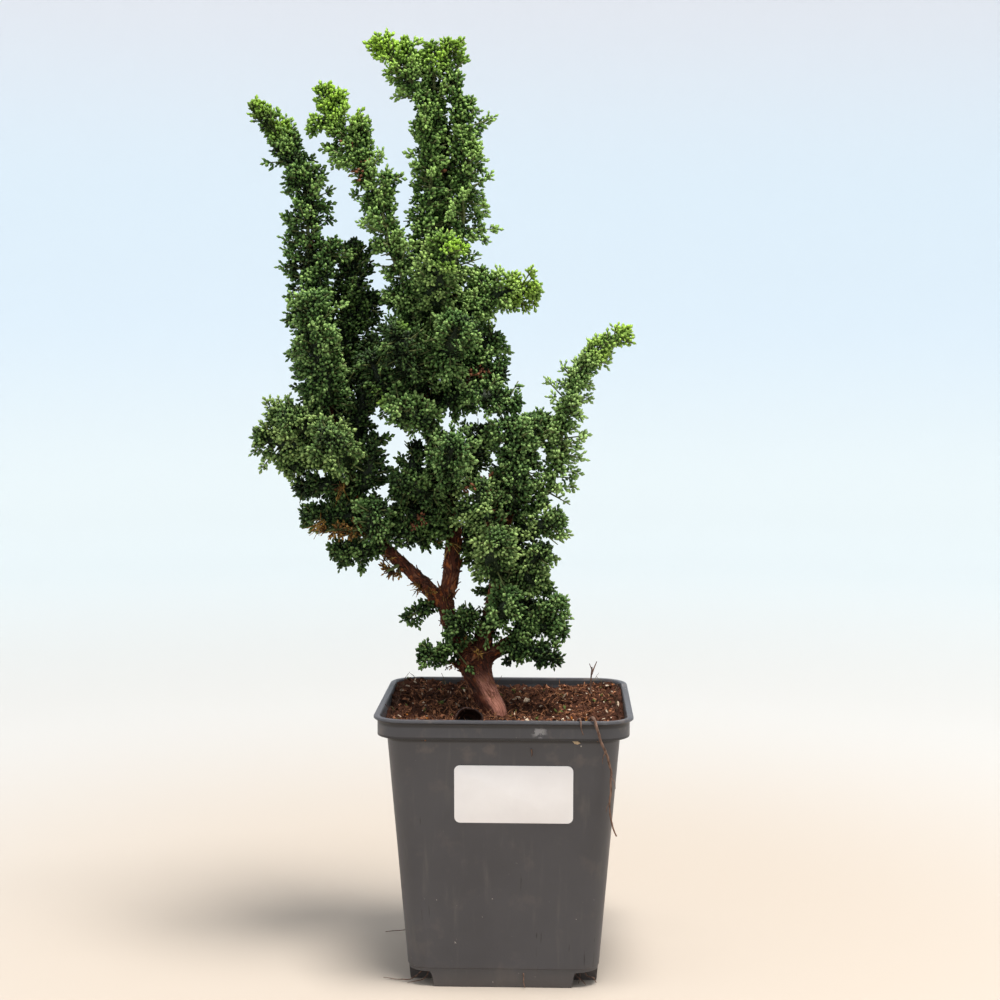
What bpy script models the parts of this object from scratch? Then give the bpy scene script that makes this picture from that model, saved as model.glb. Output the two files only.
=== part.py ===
"""A young hinoki cypress, trained as a bonsai, in a square plastic nursery pot.

Metres, +Z up. The origin is the middle of the pot's base, and the tree's front faces -Y.
All sizes and places below are in millimetres, and turned into metres where a mesh is made.
"""
import math
import random

import bmesh
import bpy
import numpy as np
from mathutils import Matrix, Vector, noise
from mathutils.bvhtree import BVHTree

MM = 0.001
CLEAR = 0.3            # gap between pieces that lie on each other

# The pot: half widths, corner radii and heights
POT_HEIGHT = 117.9
RIM_HALF = 55.0
RIM_RADIUS = 14.6
RIM_THICK = 1.5
BAND_HALF = 53.4
BAND_RADIUS = 13.0
BAND_FOOT = 109.4
WALL_TOP_HALF = 49.5
WALL_BASE_HALF = 40.35
WALL_RADIUS = 10.0
WALL_THICK = 1.2
FLOOR_THICK = 1.7
SKIRT_HEIGHT = 6.8         # the corners are open up to here, and their floors lie above
SKIRT_HALF_FOOT = 28.75
SKIRT_HALF_TOP = 30.75
CROSS_HALF = 27.2          # half width of the low floor, a cross between the raised corners
DRAIN_RADIUS = 3.5
DRAIN_PLACE = 33.0
CORNER_STEPS = 3

# The soil, and the hole that the trunk stands in
SOIL_LEVEL = 111.4
SOIL_HOLE_FOOT = 92.0
TRUNK_BASE = (-4.5, -8.0)
TRUNK_FOOT_RADIUS = 5.3

# The label on the front wall: a plain sticker of a stock size
LABEL_SIZE = (50.0, 25.0)
LABEL_THICK = 0.35
LABEL_RADIUS = 2.4
LABEL_PLACE = (4.6, 85.4)

# The wood: name, number of sides, then x, y, z and radius of each point
LIMBS = [
    ("trunk", 8, [(-4.5, -8, 93, 5.3), (-4.5, -8, 100, 5.3), (-4.5, -8, 106.5, 5.3), (-4.7, -8, 113, 5.3),
                  (-8, -6.5, 119, 5.3), (-12, -4, 127, 5.9), (-14, -2, 136, 7.4), (-14, -1.5, 141, 5.0)]),
    ("left_stem", 8, [(-14, -2, 133, 5.2), (-20, -1, 143, 4.3), (-25, 0, 152, 3.6), (-28, 0, 163, 3.8)]),
    ("left_limb", 6, [(-27, 0, 159, 3.4), (-35, -1, 167, 3.3), (-45, -2, 177, 2.7), (-53, -2, 184, 2.6),
                      (-60, -3, 194, 2.4), (-64, -3, 206, 2.2), (-69, -1, 218, 2.0), (-75, 1, 235, 1.8),
                      (-80, 2, 250, 1.5)]),
    ("leader", 6, [(-28, 0, 159, 3.3), (-25, 1, 170, 3.5), (-24, 2, 182, 3.5), (-24, 3, 195, 3.0),
                   (-28, 4, 212, 2.7), (-33, 4, 232, 2.4), (-36, 4, 255, 2.1), (-35, 4, 280, 1.8),
                   (-33, 4, 300, 1.5)]),
    ("right_stem", 6, [(-13, -2, 135, 4.8), (-9, -1, 147, 3.7), (-6, 0, 160, 3.0), (-4, 2, 175, 2.5),
                       (-2, 3, 190, 2.2), (3, 3, 203, 1.8)]),
    ("right_branch", 6, [(-11, -3, 135, 3.4), (-2, -2, 141, 2.5), (5, -1, 147, 1.8)]),
    ("fork_stub", 6, [(-14, -4, 133, 3.0), (-13, -10, 138, 2.2), (-12, -13, 141, 1.3)]),
    ("snag", 4, [(-17, -2, 131, 2.4), (-23, -5, 134, 0.9)]),
    ("side_stub", 4, [(-34, -1, 167, 2.2), (-36, -6, 169, 1.2)]),
]

# The leafy shoots: name, tone, how far the leaves reach from the stem at its base and at its tip, and
# the way from the limb's axis to the tip
SHOOTS = [
    ("left_plume", "mid", 12, 9,
     [(-80, 2, 250), (-84, 1, 262), (-87, 0, 285), (-87, 0, 312), (-88, 0, 338), (-94, 0, 356),
      (-110, 0, 377)]),
    ("left_shoulder", "dark", 13, 12,
     [(-77, 1, 241), (-74, 5, 248), (-72, 8, 262), (-70, 9, 284), (-68, 8, 317)]),
    ("left_back_plume", "dark", 13, 10,
     [(-78, 2, 244), (-81, 11, 252), (-87, 22, 268), (-91, 33, 292)]),
    ("left_front_plume", "mid", 13, 10,
     [(-79, 2, 247), (-79, -9, 254), (-81, -18, 270), (-82, -24, 294)]),
    ("bump_top", "light", 12, 11,
     [(-73, 0, 229), (-78, -8, 233), (-88, -19, 240), (-94, -24, 243)]),
    ("bump_left", "light", 12, 12,
     [(-70, -1, 221), (-77, -5, 224), (-90, -10, 230), (-107, -12, 234)]),
    ("bump_front", "light", 13, 11,
     [(-69, -1, 218), (-71, -10, 224), (-73, -24, 230), (-75, -31, 236)]),
    ("bump_back", "mid", 13, 10,
     [(-73, 0, 229), (-78, 9, 232), (-85, 20, 238), (-90, 28, 245)]),
    ("low_left_high", "dark", 11, 10,
     [(-66, -3, 210), (-71, -5, 211), (-79, -7, 213), (-90, -8, 212)]),
    ("low_left_middle", "dark", 10, 9,
     [(-60, -3, 194), (-66, -6, 197), (-75, -8, 199), (-87, -9, 200)]),
    ("low_left_tip", "dark", 9, 9,
     [(-54, -2, 185), (-59, -5, 185), (-66, -8, 184), (-75, -9, 184)]),
    ("low_left_back", "dark", 12, 10,
     [(-61, -3, 196), (-64, 6, 198), (-72, 17, 201), (-77, 24, 205)]),
    ("low_left_front", "mid", 11, 10,
     [(-58, -3, 191), (-58, -10, 193), (-57, -16, 198), (-56, -19, 204)]),
    ("inner_left", "dark", 10, 9,
     [(-66, -2, 210), (-62, -7, 213), (-59, -11, 222), (-58, -13, 233)]),
    ("centre_left_low", "dark", 11, 10,
     [(-24, 3, 194), (-31, -1, 196), (-39, -5, 199), (-46, -8, 203)]),
    ("centre_left_front", "dark", 11, 10,
     [(-26, 4, 206), (-31, -4, 208), (-37, -13, 212), (-47, -18, 214)]),
    ("centre_left_back", "dark", 12, 11,
     [(-26, 4, 204), (-31, 12, 206), (-41, 23, 209), (-48, 29, 212)]),
    ("centre_front", "mid", 12, 11,
     [(-28, 4, 212), (-28, -6, 215), (-25, -19, 223), (-21, -27, 233)]),
    ("centre_low_front", "light", 12, 11,
     [(-2, 3, 188), (-6, -4, 193), (-10, -11, 202), (-11, -16, 213)]),
    ("centre_right", "mid", 12, 12,
     [(2, 3, 201), (3, -4, 207), (4, -8, 220), (1, -10, 240)]),
    ("centre_back", "dark", 13, 11,
     [(-29, 4, 215), (-25, 12, 217), (-18, 25, 223), (-11, 32, 234)]),
    ("right_back_high", "dark", 13, 11,
     [(0, 3, 196), (0, 11, 202), (1, 22, 212), (3, 28, 224)]),
    ("bright_sprig", "fresh", 10, 9,
     [(-31, 4, 226), (-30, -7, 231), (-33, -16, 238), (-41, -22, 245), (-50, -24, 249)]),
    ("middle_front_left", "dark", 13, 12,
     [(-36, 4, 254), (-39, -6, 258), (-43, -19, 267), (-46, -29, 280)]),
    ("middle_front_right", "mid", 13, 12,
     [(-36, 4, 262), (-32, -6, 265), (-25, -18, 271), (-20, -27, 284)]),
    ("middle_front_outer", "dark", 12, 11,
     [(-35, 4, 244), (-41, -3, 247), (-52, -11, 256), (-59, -16, 268)]),
    ("middle_right_low", "mid", 11, 10,
     [(-35, 4, 250), (-28, 0, 251), (-15, -5, 252), (4, -8, 249)]),
    ("middle_right", "mid", 12, 10,
     [(-36, 4, 262), (-29, 3, 264), (-17, 1, 269), (-5, 0, 277)]),
    ("right_knob", "fresh", 11, 11,
     [(-35, 4, 277), (-27, 3, 281), (-15, 0, 288), (-4, -2, 296), (12, -2, 298)]),
    ("middle_left", "dark", 11, 10,
     [(-71, 0, 223), (-68, 2, 229), (-65, 3, 242), (-62, 3, 258), (-59, 3, 274)]),
    ("middle_back_left", "dark", 14, 12,
     [(-36, 4, 255), (-40, 13, 259), (-46, 26, 269), (-50, 36, 282)]),
    ("middle_back_right", "dark", 14, 12,
     [(-35, 4, 269), (-31, 13, 273), (-23, 25, 282), (-18, 33, 295)]),
    ("middle_back_outer", "dark", 13, 11,
     [(-35, 4, 246), (-42, 11, 248), (-56, 20, 256), (-65, 27, 268)]),
    ("middle_back_low", "dark", 13, 11,
     [(-36, 4, 252), (-29, 11, 253), (-19, 24, 255), (-10, 32, 259)]),
    ("column_left", "mid", 11, 9,
     [(-33, 4, 300), (-34, 2, 308), (-35, 0, 328), (-33, 0, 350), (-35, 0, 370), (-41, 0, 386), (-49, 0, 397),
      (-56, 0, 405)]),
    ("column_right", "mid", 11, 9,
     [(-34, 4, 292), (-27, 3, 298), (-20, 2, 322), (-19, 2, 350), (-19, 2, 368), (-23, 1, 384),
      (-26, 0, 403)]),
    ("column_back", "dark", 13, 10,
     [(-35, 4, 288), (-35, 13, 294), (-31, 20, 322), (-28, 18, 348), (-31, 12, 370)]),
    ("column_front", "light", 13, 11,
     [(-35, 4, 284), (-33, -6, 290), (-29, -18, 303), (-25, -25, 318)]),
    ("second_plume", "mid", 12, 9,
     [(-35, 4, 280), (-41, 0, 286), (-48, -4, 312), (-56, -4, 335), (-65, -3, 354), (-74, -2, 370),
      (-80, -2, 384)]),
    ("right_plume", "fresh", 10, 8,
     [(3, 3, 203), (11, 2, 203), (20, 0, 213), (23, -1, 228), (26, -2, 245), (31, -2, 260), (39, -2, 272),
      (51, -2, 279)]),
    ("right_outer_high", "light", 11, 10,
     [(-2, 3, 187), (5, 0, 190), (13, -3, 194), (23, -4, 198)]),
    ("right_outer_middle", "light", 11, 10,
     [(-4, 2, 176), (3, -1, 178), (11, -5, 181), (17, -6, 184)]),
    ("right_low", "mid", 9, 8,
     [(4, -1, 146), (9, -2, 151), (15, -5, 156), (24, -5, 161)]),
    ("right_foot", "dark", 8, 8,
     [(3, -1, 145), (7, -4, 143), (13, -7, 140), (22, -8, 136)]),
    ("right_back", "dark", 12, 10,
     [(-5, 1, 165), (-2, 9, 166), (4, 19, 169), (8, 26, 176)]),
    ("right_front_high", "light", 12, 10,
     [(-4, 2, 174), (-5, -6, 176), (-5, -14, 183), (-3, -20, 192)]),
    ("right_front_low", "mid", 11, 10,
     [(-8, -1, 150), (-5, -7, 153), (-1, -12, 159), (2, -14, 166)]),
    ("right_inner", "dark", 9, 8,
     [(-3, 2, 181), (-8, 6, 182), (-14, 9, 185), (-17, 10, 191)]),
    ("fork_sprig", "dark", 8, 7,
     [(-23, -1, 148), (-20, -7, 150), (-17, -10, 154), (-15, -11, 158)]),
    ("low_sprig", "dark", 9, 9,
     [(-17, -2, 140), (-22, -6, 140), (-27, -9, 139), (-36, -10, 139)]),
    ("twig_sprig", "dark", 5, 5,
     [(-28, 0, 161), (-34, -1, 159), (-38, -2, 157), (-43, -3, 154)]),
]

# Side stems that leave a shoot's own stem and belong to the same node: shoot, reaches and way
FORKS = [
    ("left_plume", 9, 8, [(-87, 0, 300), (-79, -4, 310), (-76, -4, 318)]),
    ("left_shoulder", 8, 7, [(-70, 9, 283), (-62, 5, 289), (-60, 4, 295)]),
    ("left_plume", 8, 7, [(-89, 0, 343), (-92, 1, 356), (-94, 1, 364)]),
    ("bump_top", 10, 9, [(-88, -19, 240), (-98, -14, 243), (-101, -12, 243)]),
    ("bump_left", 10, 9, [(-84, -8, 228), (-92, -9, 221), (-96, -9, 221)]),
    ("centre_left_low", 9, 8, [(-36, -3, 198), (-44, -6, 193), (-51, -7, 192)]),
    ("centre_left_low", 7, 7, [(-33, -2, 197), (-34, -3, 190), (-35, -3, 187)]),
    ("centre_left_front", 8, 8, [(-36, -13, 211), (-40, -12, 220), (-39, -10, 230)]),
    ("centre_low_front", 9, 9, [(-7, -6, 195), (-15, -9, 198), (-19, -10, 203)]),
    ("centre_right", 9, 9, [(4, -6, 213), (10, -5, 225), (11, -5, 241)]),
    ("middle_right", 10, 9, [(-22, 2, 266), (-10, -2, 262), (-2, -3, 261)]),
    ("right_knob", 9, 8, [(-17, 0, 287), (-13, 2, 299), (-12, 2, 306)]),
    ("column_left", 10, 9, [(-34, 0, 366), (-32, 2, 382), (-33, 2, 403)]),
    ("column_left", 7, 7, [(-42, 0, 388), (-43, 1, 399), (-44, 1, 403)]),
    ("second_plume", 8, 7, [(-64, -3, 352), (-63, -2, 364), (-64, -2, 370)]),
    ("second_plume", 6, 6, [(-73, -2, 368), (-81, -3, 371), (-84, -3, 368)]),
    ("second_plume", 7, 7, [(-73, -2, 368), (-74, -2, 378), (-74, -2, 382)]),
    ("second_plume", 7, 7, [(-55, -4, 331), (-52, -3, 341), (-51, -2, 346)]),
    ("second_plume", 8, 7, [(-47, -3, 306), (-52, -6, 317), (-55, -7, 318)]),
    ("second_plume", 9, 9, [(-43, -1, 289), (-48, 2, 291), (-51, 2, 296)]),
    ("right_plume", 9, 8, [(23, -1, 224), (17, 2, 236), (15, 2, 243)]),
    ("right_outer_middle", 10, 9, [(4, -2, 178), (12, -2, 170), (18, -3, 167)]),
    ("right_low", 8, 8, [(9, -2, 151), (17, -2, 150), (25, -2, 149)]),
    ("right_foot", 7, 6, [(7, -4, 143), (3, -7, 138), (2, -8, 136)]),
    ("right_back", 10, 9, [(0, 12, 167), (6, 14, 158), (11, 15, 153)]),
]

# Dead brown sprays: name, tone, lengths and way, as for the shoots
DEAD_SPRIGS = [
    ("dead_sprig_limb", "dead", 7, 5, [(-46, -2, 178), (-48, -5, 177), (-50, -7, 176), (-52, -8, 175)]),
    ("dead_sprig_low", "dead", 7, 5, [(-59, -3, 193), (-69, -15, 194), (-74, -17, 194), (-78, -17, 193)]),
]

LIMB_STEP = 8.0
BARE_FOOT = 116.0          # height up to which the trunk's foot stays round in its hole
FOOT_RADIUS = 0.6          # a shoot's foot, where it meets its limb
RUFFLE_STEP = 6.6          # distance between the rings of a stem's leafy mass
RUFFLE_SIDES = (6, 8)      # points in a ring of a slim mass and of a wide one
WIDE_MASS = 10.5           # reach from which a mass counts as wide
RUFFLE_IN = 0.54           # reach of the points between two tufts, and of the tufts
RUFFLE_OUT = 1.02
RUFFLE_LEAN = 0.3          # how far a tuft leans ahead, in steps between rings
RUFFLE_DRAWS = (1.0, 0.85, 0.7, 0.56, 0.44, 0.34, 0.25, 0.15)
MASS_MARGIN = 1.1          # how much nearer to its own stem than to any other the mass stays
MASS_WOOD_MARGIN = 0.8
SPRAY_THICK = 2.1
SPRAY_SHARE = 0.7          # length of a spray against how far the leaves reach from their stem
SPRAY_SUNK = 2.5           # how deep a spray's root lies in the leafy mass, and at a tip
TIP_SUNK = 4.0
LONG_SPRAY = 11.0          # lengths from which a spray has five lobes, and four
SHORT_SPRAY = 8.0
SPRAY_SPACING = 17.0       # stem for each spray
SPRAY_EXTRA = 1.9
SPRAY_SHARES = (1.0, 0.86, 0.72, 0.58)
CELL_MARGIN = 0.9          # the same margins for a spray
WOOD_MARGIN = 0.7
PATH_STEP = 1.5
GOLDEN_ANGLE = math.radians(137.5)
LOWEST_LEAF = 123.0

# Places where one sees through the crown from the front: x, z and radius at the depth of the trunk
SEEN_FROM = (22.7, -834.0, 268.6)
SKY_GAPS = [(-46, 232, 5.0), (-39, 224.5, 1.5), (-26, 241, 2.2), (-20, 241.5, 2.2), (-13, 241.5, 2.5),
            (17, 232, 2.5), (14, 227, 2.5), (11, 217, 3.5), (5, 208.5, 2.6), (-56, 210, 3.0),
            (-40, 183, 3.0), (-36, 176, 6.5), (-31, 171, 3.0), (-15, 163, 4.0), (-12, 172, 2.5),
            (-57, 292, 3.0), (-53, 310, 4.0), (-54, 323, 3.0), (-46, 395, 2.5), (-20, 194, 1.8)]

# Thin things in and over the soil: points of each way, then the radii
HANGING_ROOT = [(34.5, -46, 113.4), (35.8, -49.4, 117), (37.3, -52.8, 119.3), (38.5, -55.6, 119),
                (39.3, -56.8, 115.5), (40.4, -56.4, 111.5), (42, -55.2, 107), (45, -52, 99),
                (45.3, -51.2, 90), (44.6, -50.6, 82), (46, -49.8, 73), (47.8, -49.6, 68.5)]
HANGING_ROOT_RADIUS = 0.45
SOIL_TWIG = [(37.8, 30, 114.6), (38.2, 30, 121), (38.6, 30.5, 127)]
SOIL_TWIG_FORK = [(38.4, 30.2, 123.5), (40.8, 30.8, 129.5)]
SOIL_TWIG_RADII = (0.55, 0.5, 0.25)
SOIL_FORK_RADII = (0.4, 0.2)
BARK_CHIP = (-15.0, -26.0, 111.85)
BARK_CHIP_SIZE = (15.0, 6.0, 5.0)

COLOURS = {
    "pot": (0.062, 0.062, 0.068), "soil": (0.075, 0.04, 0.026), "label": (0.83, 0.79, 0.77),
    "bark": (0.16, 0.06, 0.032), "dry": (0.2, 0.11, 0.06), "dead": (0.33, 0.13, 0.03),
    "dark": (0.012, 0.042, 0.018), "mid": (0.024, 0.085, 0.03), "light": (0.05, 0.13, 0.055),
    "fresh": (0.075, 0.21, 0.03),
}
ROUGHNESS = {"pot": 0.45, "label": 0.5}


def tinted(name):
    """The material of one finish, made the first time that it is asked for."""
    if name in bpy.data.materials:
        return bpy.data.materials[name]
    made = bpy.data.materials.new(name)
    made.use_nodes = True
    shader = made.node_tree.nodes["Principled BSDF"]
    shader.inputs["Base Color"].default_value = (*COLOURS[name], 1.0)
    shader.inputs["Roughness"].default_value = ROUGHNESS.get(name, 0.85)
    shader.inputs["Metallic"].default_value = 0.0
    return made


def add_mesh(name, bm, collection):
    """Put a finished bmesh, whose points are in millimetres, into the scene as an object."""
    bmesh.ops.scale(bm, vec=(MM, MM, MM), verts=bm.verts)
    mesh = bpy.data.meshes.new(name)
    bm.to_mesh(mesh)
    bm.free()
    obj = bpy.data.objects.new(name, mesh)
    collection.objects.link(obj)
    return obj


def finish(obj, finish_name, smooth_angle=None):
    """Give an object its own copy of a finish, and smooth its round faces."""
    obj.data.materials.clear()
    own = tinted(finish_name).copy()
    own.name = obj.name
    obj.data.materials.append(own)
    if smooth_angle is not None:
        obj.data.shade_smooth()
        obj.data.set_sharp_from_angle(angle=math.radians(smooth_angle))
    return obj


def rounded_square(half, radius, z, steps=CORNER_STEPS):
    """Points of a square with round corners, anticlockwise from the middle of the +X +Y corner."""
    points = []
    for corner, (sx, sy) in enumerate(((1, 1), (-1, 1), (-1, -1), (1, -1))):
        for step in range(steps + 1):
            angle = math.radians(90 * corner + 90 * step / steps)
            x = sx * (half - radius) + radius * math.cos(angle)
            y = sy * (half - radius) + radius * math.sin(angle)
            points.append((x, y, z))
    return points


def lofted(rings):
    """A closed solid through rings of as many points each, with a face over both ends."""
    bm = bmesh.new()
    loops = []
    for ring in rings:
        verts = [bm.verts.new(point) for point in ring]
        loops.append([bm.edges.new((a, b)) for a, b in zip(verts, verts[1:] + verts[:1])])
    bmesh.ops.contextual_create(bm, geom=loops[0])
    for lower, upper in zip(loops, loops[1:]):
        bmesh.ops.bridge_loops(bm, edges=lower + upper)
    bmesh.ops.contextual_create(bm, geom=loops[-1])
    bmesh.ops.recalc_face_normals(bm, faces=bm.faces)
    return bm


def boolean(target, operation, collection, solver="EXACT"):
    """Cut a collection's objects from the target, or join them to it, and keep the result."""
    tool = target.modifiers.new(operation.lower(), "BOOLEAN")
    tool.operation = operation
    tool.operand_type = "COLLECTION"
    tool.collection = collection
    tool.solver = solver
    graph = bpy.context.evaluated_depsgraph_get()
    made = bpy.data.meshes.new_from_object(target.evaluated_get(graph))
    target.modifiers.clear()
    old = target.data
    target.data = made
    bpy.data.meshes.remove(old)


def islands_of(bm):
    """The sets of connected points of a mesh."""
    left = set(bm.verts)
    islands = []
    while left:
        edge_of = [left.pop()]
        island = set(edge_of)
        while edge_of:
            vert = edge_of.pop()
            for edge in vert.link_edges:
                other = edge.other_vert(vert)
                if other in left:
                    left.discard(other)
                    island.add(other)
                    edge_of.append(other)
        islands.append(island)
    return islands


def keep_one_body(obj):
    """Keep the largest surface of a joined mesh: loose scraps go, and sealed hollows are filled."""
    bm = bmesh.new()
    bm.from_mesh(obj.data)
    islands = islands_of(bm)
    largest = max(islands, key=len)
    scraps = [vert for island in islands if island is not largest for vert in island]
    bmesh.ops.delete(bm, geom=scraps, context="VERTS")
    bm.to_mesh(obj.data)
    bm.free()


def emptied(collection):
    """Remove a helper collection with all that is in it."""
    for obj in list(collection.objects):
        bpy.data.objects.remove(obj)
    bpy.data.collections.remove(collection)


def helper_collection(name):
    made = bpy.data.collections.new(name)
    bpy.context.scene.collection.children.link(made)
    return made


def box(name, low, high, collection):
    """A plain box between two corners."""
    bm = bmesh.new()
    bmesh.ops.create_cube(bm, size=1.0)
    low, high = Vector(low), Vector(high)
    bmesh.ops.scale(bm, vec=high - low, verts=bm.verts)
    bmesh.ops.translate(bm, vec=(low + high) / 2, verts=bm.verts)
    return add_mesh(name, bm, collection)


def rod(name, centre, radius, low, high, sides, collection):
    """An upright round rod, for holes."""
    bm = bmesh.new()
    place = Matrix.Translation((centre[0], centre[1], (low + high) / 2))
    bmesh.ops.create_cone(bm, cap_ends=True, segments=sides, radius1=radius, radius2=radius,
                          depth=high - low, matrix=place)
    return add_mesh(name, bm, collection)


def as_cutter(obj):
    obj.hide_render = True
    obj.display_type = "WIRE"
    return obj


def wall_half(z):
    """Half width of the pot's outer wall at a height under the band."""
    return WALL_BASE_HALF + (WALL_TOP_HALF - WALL_BASE_HALF) * z / BAND_FOOT


def make_pot(parts, cutters):
    """Outside from the skirts up to the rim, then inside down to the floor, in one closed loft."""
    shelf = BAND_FOOT + WALL_THICK
    band_in = BAND_HALF - WALL_THICK
    rim_foot = POT_HEIGHT - RIM_THICK
    floor_top = SKIRT_HEIGHT + FLOOR_THICK
    inner_radius = WALL_RADIUS - WALL_THICK
    rings = [
        rounded_square(WALL_BASE_HALF, WALL_RADIUS, 0.0),
        rounded_square(WALL_TOP_HALF, WALL_RADIUS, BAND_FOOT),
        rounded_square(BAND_HALF - 0.4, BAND_RADIUS, BAND_FOOT),
        rounded_square(BAND_HALF, BAND_RADIUS, BAND_FOOT + 0.4),
        rounded_square(BAND_HALF, BAND_RADIUS, rim_foot),
        rounded_square(RIM_HALF, RIM_RADIUS, rim_foot + 0.2),
        rounded_square(RIM_HALF, RIM_RADIUS, POT_HEIGHT - 0.5),
        rounded_square(RIM_HALF - 0.5, RIM_RADIUS - 0.5, POT_HEIGHT),
        rounded_square(band_in + 0.3, BAND_RADIUS - WALL_THICK, POT_HEIGHT),
        rounded_square(band_in, BAND_RADIUS - WALL_THICK, POT_HEIGHT - 0.3),
        rounded_square(band_in, BAND_RADIUS - WALL_THICK, shelf),
        rounded_square(wall_half(shelf) - WALL_THICK, inner_radius, shelf),
        rounded_square(wall_half(floor_top) - WALL_THICK, inner_radius, floor_top),
    ]
    pot = add_mesh("pot", lofted(rings), parts)
    for bar in cross_bars(0.0, floor_top + 1, cutters):
        as_cutter(bar)
    for sx in (-1, 1):
        for sy in (-1, 1):
            as_cutter(make_notch(sx, sy, cutters))
            centre = (sx * DRAIN_PLACE, sy * DRAIN_PLACE)
            as_cutter(rod("drain", centre, DRAIN_RADIUS, SKIRT_HEIGHT - 1, floor_top + 2, 10, cutters))
    boolean(pot, "DIFFERENCE", cutters)
    return finish(pot, "pot", 30)


def cross_bars(gap, top, collection):
    """The two bars of the cross-shaped space over the low floor, drawn in by a gap."""
    narrow = CROSS_HALF - gap
    wide = WALL_BASE_HALF - WALL_THICK - gap
    foot = FLOOR_THICK + gap
    return [box("bar", (-x, -y, foot), (x, y, top), collection) for x, y in ((narrow, wide), (wide, narrow))]


def make_notch(sx, sy, cutters):
    """The open corner between two skirts, wider at the surface that the pot stands on."""
    reach = WALL_BASE_HALF + 8
    notch = box("notch", (0, 0, -2), (reach, reach, SKIRT_HEIGHT), cutters)
    for vert in notch.data.vertices:
        for axis, sign in ((0, sx), (1, sy)):
            if vert.co[axis] == 0:
                vert.co[axis] = MM * (SKIRT_HALF_TOP if vert.co[2] > 0 else SKIRT_HALF_FOOT)
            vert.co[axis] *= sign
    if sx * sy < 0:
        notch.data.flip_normals()
    return notch


def soil_height(x, y):
    """Lumpy top of the mix: low by the front wall, higher in the back and right corners."""
    lumps = 1.5 * noise.noise(Vector((x, y, 3.0)) * 0.09) + 1.0 * noise.noise(Vector((x, y, 9.0)) * 0.21)
    back_right = 3.6 * max(0.0, (x + y - 20) / 80)
    back_left = 3.0 * max(0.0, (y - x - 35) / 70)
    front = -1.4 * max(0.0, (-y - 15) / 35)
    round_trunk = 0.8 * math.exp(-((x - TRUNK_BASE[0]) ** 2 + (y - TRUNK_BASE[1]) ** 2) / 160)
    return SOIL_LEVEL + lumps + back_right + back_left + front + round_trunk


def make_soil(parts):
    """The mix fills the pot and lies over the inner ledge; its top is drawn from ring to ring."""
    wall = WALL_THICK + CLEAR
    shelf = BAND_FOOT + WALL_THICK + CLEAR
    inner_radius = WALL_RADIUS - wall
    foot = SKIRT_HEIGHT + FLOOR_THICK + CLEAR
    top_half = BAND_HALF - wall
    top_radius = BAND_RADIUS - wall
    rings = [
        rounded_square(wall_half(foot) - wall, inner_radius, foot),
        rounded_square(wall_half(shelf) - wall, inner_radius, shelf),
        rounded_square(top_half, top_radius, shelf),
    ]
    for share in (1.0, 0.93, 0.84, 0.74, 0.63, 0.52, 0.4, 0.28, 0.15):
        flat = rounded_square(top_half * share, top_radius * share, 0.0)
        lowest = shelf + 0.3
        rings.append([(x, y, max(lowest, soil_height(x, y))) for x, y, _ in flat])
    soil = add_mesh("soil", lofted(rings), parts)
    bars = helper_collection("soil_foot")
    cross_bars(CLEAR, foot + 1, bars)
    boolean(soil, "UNION", bars)
    emptied(bars)
    holes = helper_collection("soil_hole")
    hole_radius = (TRUNK_FOOT_RADIUS + 2 * CLEAR) / math.cos(math.pi / 16)
    rod("hole", TRUNK_BASE, hole_radius, SOIL_HOLE_FOOT, SOIL_LEVEL + 9, 16, holes)
    boolean(soil, "DIFFERENCE", holes)
    emptied(holes)
    return finish(soil, "soil", 50)


def make_label(parts):
    """A flat sticker that leans with the wall, held off it by the usual gap."""
    wide, high = LABEL_SIZE
    lean = math.atan2(WALL_TOP_HALF - WALL_BASE_HALF, BAND_FOOT)
    flat = []
    for corner, (sx, sz) in enumerate(((1, 1), (-1, 1), (-1, -1), (1, -1))):
        for step in range(4):
            angle = math.radians(90 * corner + 30 * step)
            x = sx * (wide / 2 - LABEL_RADIUS) + LABEL_RADIUS * math.cos(angle)
            z = sz * (high / 2 - LABEL_RADIUS) + LABEL_RADIUS * math.sin(angle)
            flat.append((x, z))
    rings = [[(x, depth, z) for x, z in flat] for depth in (-LABEL_THICK / 2, LABEL_THICK / 2)]
    bm = lofted(rings)
    off_wall = CLEAR + LABEL_THICK / 2
    centre = (LABEL_PLACE[0], -wall_half(LABEL_PLACE[1]) - off_wall / math.cos(lean), LABEL_PLACE[1])
    turn = Matrix.Translation(centre) @ Matrix.Rotation(lean, 4, "X")
    bmesh.ops.transform(bm, matrix=turn, verts=bm.verts)
    return finish(add_mesh("label", bm, parts), "label")


def smooth_path(points, step=PATH_STEP):
    """Points about one step apart on a smooth curve through the given ones."""
    given = np.array(points, dtype=float)
    ends = np.vstack([2 * given[0] - given[1], given, 2 * given[-1] - given[-2]])
    made = []
    for i in range(1, len(ends) - 2):
        p0, p1, p2, p3 = ends[i - 1:i + 3]
        count = max(1, round(np.linalg.norm((p2 - p1)[:3]) / step))
        for t in np.arange(count) / count:
            made.append(0.5 * (2 * p1 + (p2 - p0) * t + (2 * p0 - 5 * p1 + 4 * p2 - p3) * t * t
                               + (3 * p1 - p0 - 3 * p2 + p3) * t ** 3))
    made.append(given[-1])
    return np.array(made)


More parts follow.
